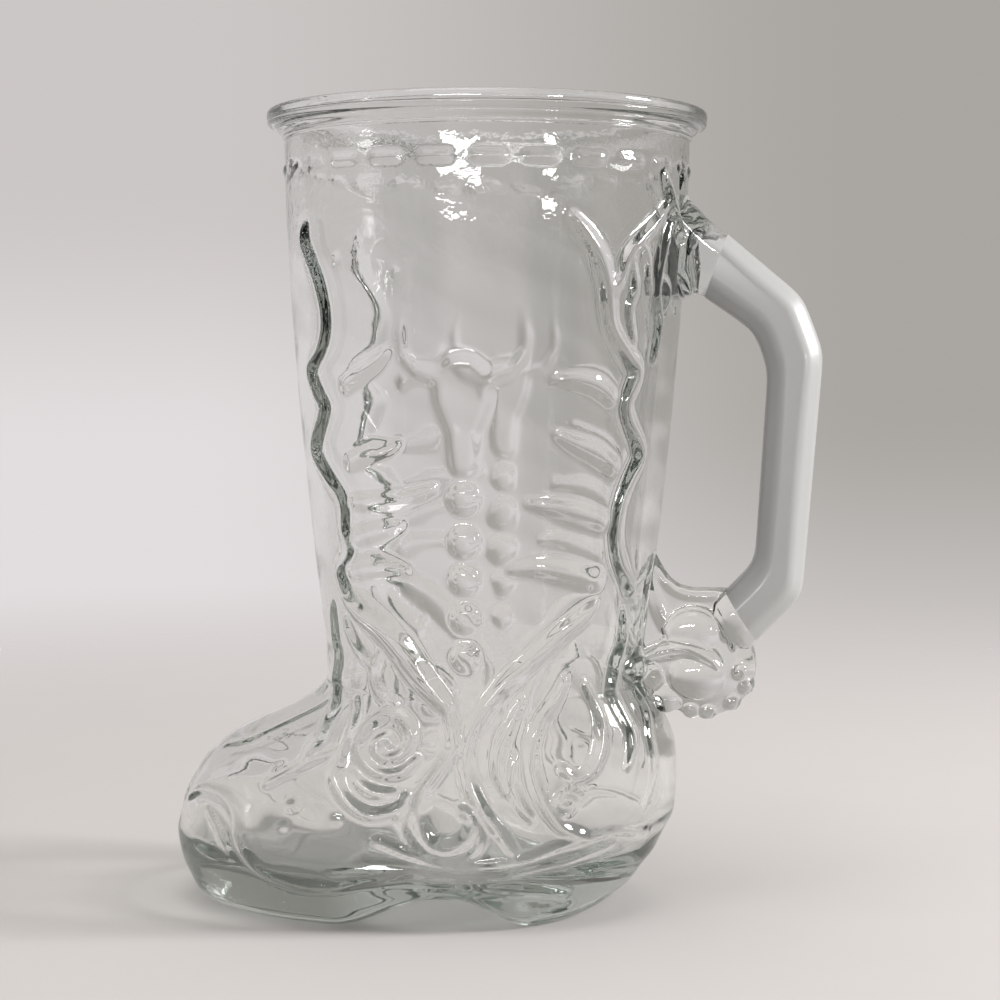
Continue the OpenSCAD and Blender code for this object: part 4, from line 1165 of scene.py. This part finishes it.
def clear_glass(colours):
    """Pressed clear glass: a faint tint, slow waves, a fine skin near the lip and light handling marks."""
    material = bpy.data.materials.new("clear_glass")
    g = Graph(material)
    place = g.place()
    z = g.value("ShaderNodeSeparateXYZ", {}, {"Vector": place}, "Z")
    waves = g.noise(95, 1.0, 0.4)
    skin = g.noise(620, 2.0, 0.5)
    near_lip = z.step(0.118, 0.135) * (1 - z.step(0.1485, 0.1500))
    marks = g.noise(48, 5.0, 0.65).step(0.62, 0.78)
    height = waves * 0.35 + skin * (0.03 + near_lip * 0.16)
    bump = g.node("ShaderNodeBump", {}, {"Strength": 0.32, "Distance": 0.0006, "Height": height})
    tint = g.mix(g.noise(30, 2.0), tinted(colours.clear, 0.994), tinted(colours.clear, 1.006))
    glass = g.node("ShaderNodeBsdfPrincipled", {}, {
        "Base Color": tint, "Roughness": marks * 0.025, "IOR": 1.5, "Transmission Weight": 1.0,
        "Normal": bump.outputs[0]})
    # light crosses a skin that faces it, and is turned aside by one that it grazes
    facing = g.value("ShaderNodeLayerWeight", {}, {"Blend": 0.5}, "Facing").step(0.5, 1.0)
    straight = g.node("ShaderNodeBsdfTransparent", {}, {"Color": tuple(colours.shade)})
    grazed = g.node("ShaderNodeBsdfTransparent", {}, {"Color": tuple(colours.shade_edge)})
    shade = g.node("ShaderNodeMixShader", {}, {0: facing, 1: straight.outputs[0], 2: grazed.outputs[0]})
    path = g.node("ShaderNodeLightPath")
    # where two pieces of the glass run into each other nothing shows
    nothing = g.node("ShaderNodeBsdfTransparent", {}, {"Color": (1.0, 1.0, 1.0)})
    fused = g.node("ShaderNodeAttribute", {"attribute_name": "fused"}).outputs["Fac"]
    skin_or_joint = g.node("ShaderNodeMixShader", {}, {0: fused, 1: glass.outputs[0], 2: nothing.outputs[0]})
    mix = g.node("ShaderNodeMixShader", {}, {
        0: path.outputs["Is Shadow Ray"], 1: skin_or_joint.outputs[0], 2: shade.outputs[0]})
    depth = g.node("ShaderNodeVolumeAbsorption", {}, {"Color": tuple(colours.depth), "Density": colours.density})
    g.surface(mix.outputs[0], depth=depth.outputs[0])
    return material


def satin_glass(colours):
    """The handle's milky satin glass, with a soft grain and its sharp edges made brighter by a painted highlight."""
    material = bpy.data.materials.new("satin_glass")
    g = Graph(material)
    cloud = g.noise(60, 3.0, 0.55)
    grain = g.noise(1500, 2.0, 0.6)
    # painted highlight: the colour is made lighter along the handle's sharp edges
    painted_edge_highlight = g.value("ShaderNodeNewGeometry", {}, {}, "Pointiness").step(0.5, 0.58)
    colour = g.mix(cloud * 0.6 + painted_edge_highlight * 0.3, tinted(colours.frost, 0.95), tinted(colours.frost, 1.08))
    bump = g.node("ShaderNodeBump", {}, {"Strength": 0.12, "Distance": 0.0002, "Height": grain})
    glass = g.node("ShaderNodeBsdfPrincipled", {}, {
        "Base Color": colour, "Roughness": 0.34 + cloud * 0.1, "IOR": 1.5, "Transmission Weight": 0.3,
        "Coat Weight": 0.25, "Coat Roughness": 0.12, "Normal": bump.outputs[0]})
    g.surface(glass.outputs[0])
    return material


# ---- stage, in metres
FLOOR_SIDES, FLOOR_RADII, FLOOR_FADE = 96, (0.05, 0.2, 0.5, 1.0, 2.0), (0.10, 0.62)
GAP_COLOUR = (0.11, 0.125, 0.115)
LOW_LAMP_Z = 0.3
# The photo's camera: focal length, picture width, eye level and the leg's axis in pixels; sensor in millimetres
FOCAL, PICTURE, HORIZON, AXIS_COLUMN, SENSOR = 2121, 1000, 354, 486, 36.0
CAMERA_TURN, CAMERA_ROLL, CAMERA_AWAY, CAMERA_Z = math.radians(6.7), math.radians(0.2), 0.420, 0.109


def room_colour(g, studio, direction):
    """Colour of the pale sweep behind the boot, by direction."""
    x = g.value("ShaderNodeSeparateXYZ", {}, {"Vector": direction}, "X")
    z = g.value("ShaderNodeSeparateXYZ", {}, {"Vector": direction}, "Z")
    glow = (1 - x.step(-0.26, 0.07)) * (1 - z.step(-0.05, 0.08) * 0.45)
    low = 1 - z.step(-0.17, -0.02)
    return g.mix(glow + low * (1 - glow) * 0.65, tuple(studio.backdrop), tuple(studio.backdrop_light)), z


def make_room(scene, studio):
    """A room that is pale all round, with two dark gaps on the camera's side that show only in the glass."""
    world = bpy.data.worlds.new("studio_room")
    scene.world = world
    g = Graph(world)
    direction = g.node("ShaderNodeTexCoord").outputs["Generated"]
    seen, z = room_colour(g, studio, direction)
    x = g.value("ShaderNodeSeparateXYZ", {}, {"Vector": direction}, "X")
    y = g.value("ShaderNodeSeparateXYZ", {}, {"Vector": direction}, "Y")
    angle = g.value("ShaderNodeMath", {"operation": "ARCTAN2"}, {0: y, 1: x})
    wave = g.value("ShaderNodeMath", {"operation": "COSINE"}, {0: angle * 4.0 - math.radians(380)})
    gap = (1 - wave.step(-0.6, 0.2)) * (1 - z.step(0.25, 0.6)) * (1 - y.step(-0.2, 0.3)) * 0.9
    room = g.mix(gap, seen, GAP_COLOUR)
    path = g.node("ShaderNodeLightPath")
    colour = g.mix(Value(g, path.outputs["Is Camera Ray"]), room, seen)
    strength = 1 - (1 - Value(g, path.outputs["Is Camera Ray"])) * (1 - studio.room)
    back = g.node("ShaderNodeBackground", {}, {"Color": colour, "Strength": strength})
    g.surface(back.outputs[0], "ShaderNodeOutputWorld")


def make_floor(scene, studio):
    """A wide paper disc that fades into the room."""
    turn = np.linspace(0, 2 * math.pi, FLOOR_SIDES + 1)[:-1]
    points = [(0, 0, 0)] + [(r * math.cos(a), r * math.sin(a), 0) for r in FLOOR_RADII for a in turn]
    after = lambda j: (j + 1) % FLOOR_SIDES
    faces = [[0, 1 + j, 1 + after(j)] for j in range(FLOOR_SIDES)]
    for k in range(len(FLOOR_RADII) - 1):
        a, b = 1 + FLOOR_SIDES * k, 1 + FLOOR_SIDES * (k + 1)
        faces += [[a + j, b + j, b + after(j), a + after(j)] for j in range(FLOOR_SIDES)]
    mesh = bpy.data.meshes.new("studio_floor")
    mesh.from_pydata(points, [], faces)
    material = bpy.data.materials.new("floor_paper")
    g = Graph(material)
    place = g.place()
    px = g.value("ShaderNodeSeparateXYZ", {}, {"Vector": place}, "X")
    py = g.value("ShaderNodeSeparateXYZ", {}, {"Vector": place}, "Y")
    far = ((px * px + py * py) ** 0.5).step(*FLOOR_FADE)
    paper = g.mix(g.noise(40, 4.0), tinted(studio.floor, 0.985), tinted(studio.floor, 1.015))
    matt = g.node("ShaderNodeBsdfPrincipled", {}, {"Base Color": paper, "Roughness": 0.85})
    gone = g.node("ShaderNodeBsdfTransparent", {}, {"Color": (1.0, 1.0, 1.0)})
    mix = g.node("ShaderNodeMixShader", {}, {0: far, 1: matt.outputs[0], 2: gone.outputs[0]})
    g.surface(mix.outputs[0])
    mesh.materials.append(material)
    floor = bpy.data.objects.new("studio_floor", mesh)
    scene.collection.objects.link(floor)


def make_lamps(scene, studio):
    """Four soft lamps."""
    for name, power, place, aim, size in (
        ("lamp_front", studio.key, (-0.16, -1.15, 0.20), (0, 0, 0.14), (0.46, 0.07)),
        ("lamp_side", studio.side, (0.72, -0.85, 0.20), (0, 0, 0.14), (0.14, 0.09)),
        ("lamp_fill", studio.key * 8.0, (1.25, 0.02, 0.55), (0, 0, 0.08), (0.3, 0.3)),
        ("lamp_top", studio.key, (-0.1, -0.3, 0.95), (0, 0, 0.05), (0.6, 0.6)),
    ):
        lamp = bpy.data.lights.new(name, "AREA")
        lamp.shape, lamp.size, lamp.size_y = "RECTANGLE", *size
        lamp.energy = power
        obj = bpy.data.objects.new(name, lamp)
        obj.location = place
        obj.rotation_euler = (Vector(aim) - Vector(place)).to_track_quat("-Z", "Y").to_euler()
        # the low lamps stand at eye level, where they would burn through the glass from behind
        obj.visible_transmission = place[2] > LOW_LAMP_Z
        scene.collection.objects.link(obj)


def make_camera(scene):
    """The camera that the photo was solved for."""
    camera = bpy.data.cameras.new("camera")
    camera.sensor_width = SENSOR
    camera.lens = FOCAL / PICTURE * SENSOR
    camera.clip_start = 0.01
    obj = bpy.data.objects.new("camera", camera)
    obj.location = (
        LEG_X * MM + CAMERA_AWAY * math.sin(CAMERA_TURN), -CAMERA_AWAY * math.cos(CAMERA_TURN), CAMERA_Z)
    # from the eye level down to the middle of the picture, and a little to the side
    down = math.atan((PICTURE / 2 - HORIZON) / FOCAL)
    heading = CAMERA_TURN - math.atan((PICTURE / 2 - AXIS_COLUMN) / FOCAL)
    level = Vector((-math.sin(heading), math.cos(heading), 0))
    forward = level * math.cos(down) + Vector((0, 0, -math.sin(down)))
    obj.rotation_euler = forward.to_track_quat("-Z", "Y").to_euler()
    obj.rotation_euler.rotate_axis("Z", CAMERA_ROLL)
    scene.collection.objects.link(obj)
    scene.camera = obj


def make_stage(context):
    """Floor, room, lamps, camera and the light paths that clear glass needs."""
    scene, studio = context.scene, context.scene.glass_boot_studio
    make_room(scene, studio)
    make_floor(scene, studio)
    make_lamps(scene, studio)
    make_camera(scene)
    scene.view_settings.view_transform = "Standard"
    cycles = scene.cycles
    cycles.transparent_max_bounces = 40
    cycles.max_bounces = cycles.transmission_bounces = cycles.glossy_bounces = 24
    cycles.caustics_refractive = cycles.caustics_reflective = False


# ---- operators
# glass and pieces that a later step needs
built = {}


class GLASSBOOT_OT_stage(bpy.types.Operator):
    """Sets up the floor, the room, the lamps and the camera"""

    bl_idname = "glass_boot.stage"
    bl_label = "Stage and Camera"

    def execute(self, context):
        make_stage(context)
        return {"FINISHED"}


class GLASSBOOT_OT_glass(bpy.types.Operator):
    """Mixes the clear glass and the satin glass"""

    bl_idname = "glass_boot.glass"
    bl_label = "Glass"

    def execute(self, context):
        colours = context.scene.glass_boot_colours
        built["clear"], built["satin"] = clear_glass(colours), satin_glass(colours)
        return {"FINISHED"}


class GLASSBOOT_OT_boot(bpy.types.Operator):
    """Presses the lip, the leg, the two halves of the foot and the base"""

    bl_idname = "glass_boot.boot"
    bl_label = "Boot"

    def execute(self, context):
        s = sizes(context)
        built["boot"] = make_boot(s, built["clear"])
        built["skin"] = outer_tree(s)
        return {"FINISHED"}


class GLASSBOOT_OT_handle(bpy.types.Operator):
    """Makes the satin handle and the clear root that carries it"""

    bl_idname = "glass_boot.handle"
    bl_label = "Handle"

    def execute(self, context):
        s = sizes(context)
        make_handle(s, built["satin"])
        built["root"] = make_root(s, built["clear"], built["skin"])
        return {"FINISHED"}


class GLASSBOOT_OT_spur(bpy.types.Operator):
    """Fuses the spur's wheel, collar and web"""

    bl_idname = "glass_boot.spur"
    bl_label = "Spur"

    def execute(self, context):
        s = sizes(context)
        built["spur"] = make_spur(s, built["clear"], built["skin"])
        open_skin(built["boot"], [built["root"], built["spur"]])
        for piece in (*built["boot"], built["root"], built["spur"]):
            mark_fused(piece)
        return {"FINISHED"}


class GLASSBOOT_PT_panel(bpy.types.Panel):
    """Sizes, colours and steps of the glass boot"""

    bl_label = "Glass Boot"
    bl_space_type = "VIEW_3D"
    bl_region_type = "UI"
    bl_category = "Glass Boot"

    def draw(self, context):
        scene = context.scene
        for group in (scene.glass_boot, scene.glass_boot_handle, scene.glass_boot_colours, scene.glass_boot_studio):
            box = self.layout.box()
            for name in group.__annotations__:
                box.prop(group, name)
        for operator in STEPS:
            self.layout.operator(operator.bl_idname)


GROUPS = {
    "glass_boot": BootSizes, "glass_boot_handle": HandleSizes,
    "glass_boot_colours": GlassColours, "glass_boot_studio": StudioSettings,
}
STEPS = (GLASSBOOT_OT_stage, GLASSBOOT_OT_glass, GLASSBOOT_OT_boot, GLASSBOOT_OT_handle, GLASSBOOT_OT_spur)


def register():
    """Adds the settings, the steps and the panel to Blender."""
    for cls in (*GROUPS.values(), *STEPS, GLASSBOOT_PT_panel):
        bpy.utils.register_class(cls)
    for name, group in GROUPS.items():
        setattr(bpy.types.Scene, name, PointerProperty(type=group))


def unregister():
    """Takes them out again."""
    for name in GROUPS:
        delattr(bpy.types.Scene, name)
    for cls in (GLASSBOOT_PT_panel, *reversed(STEPS), *GROUPS.values()):
        bpy.utils.unregister_class(cls)


def main():
    """Builds everything."""
    register()
    bpy.ops.glass_boot.stage()
    bpy.ops.glass_boot.glass()
    bpy.ops.glass_boot.boot()
    bpy.ops.glass_boot.handle()
    bpy.ops.glass_boot.spur()


if __name__ == "__main__":
    main()
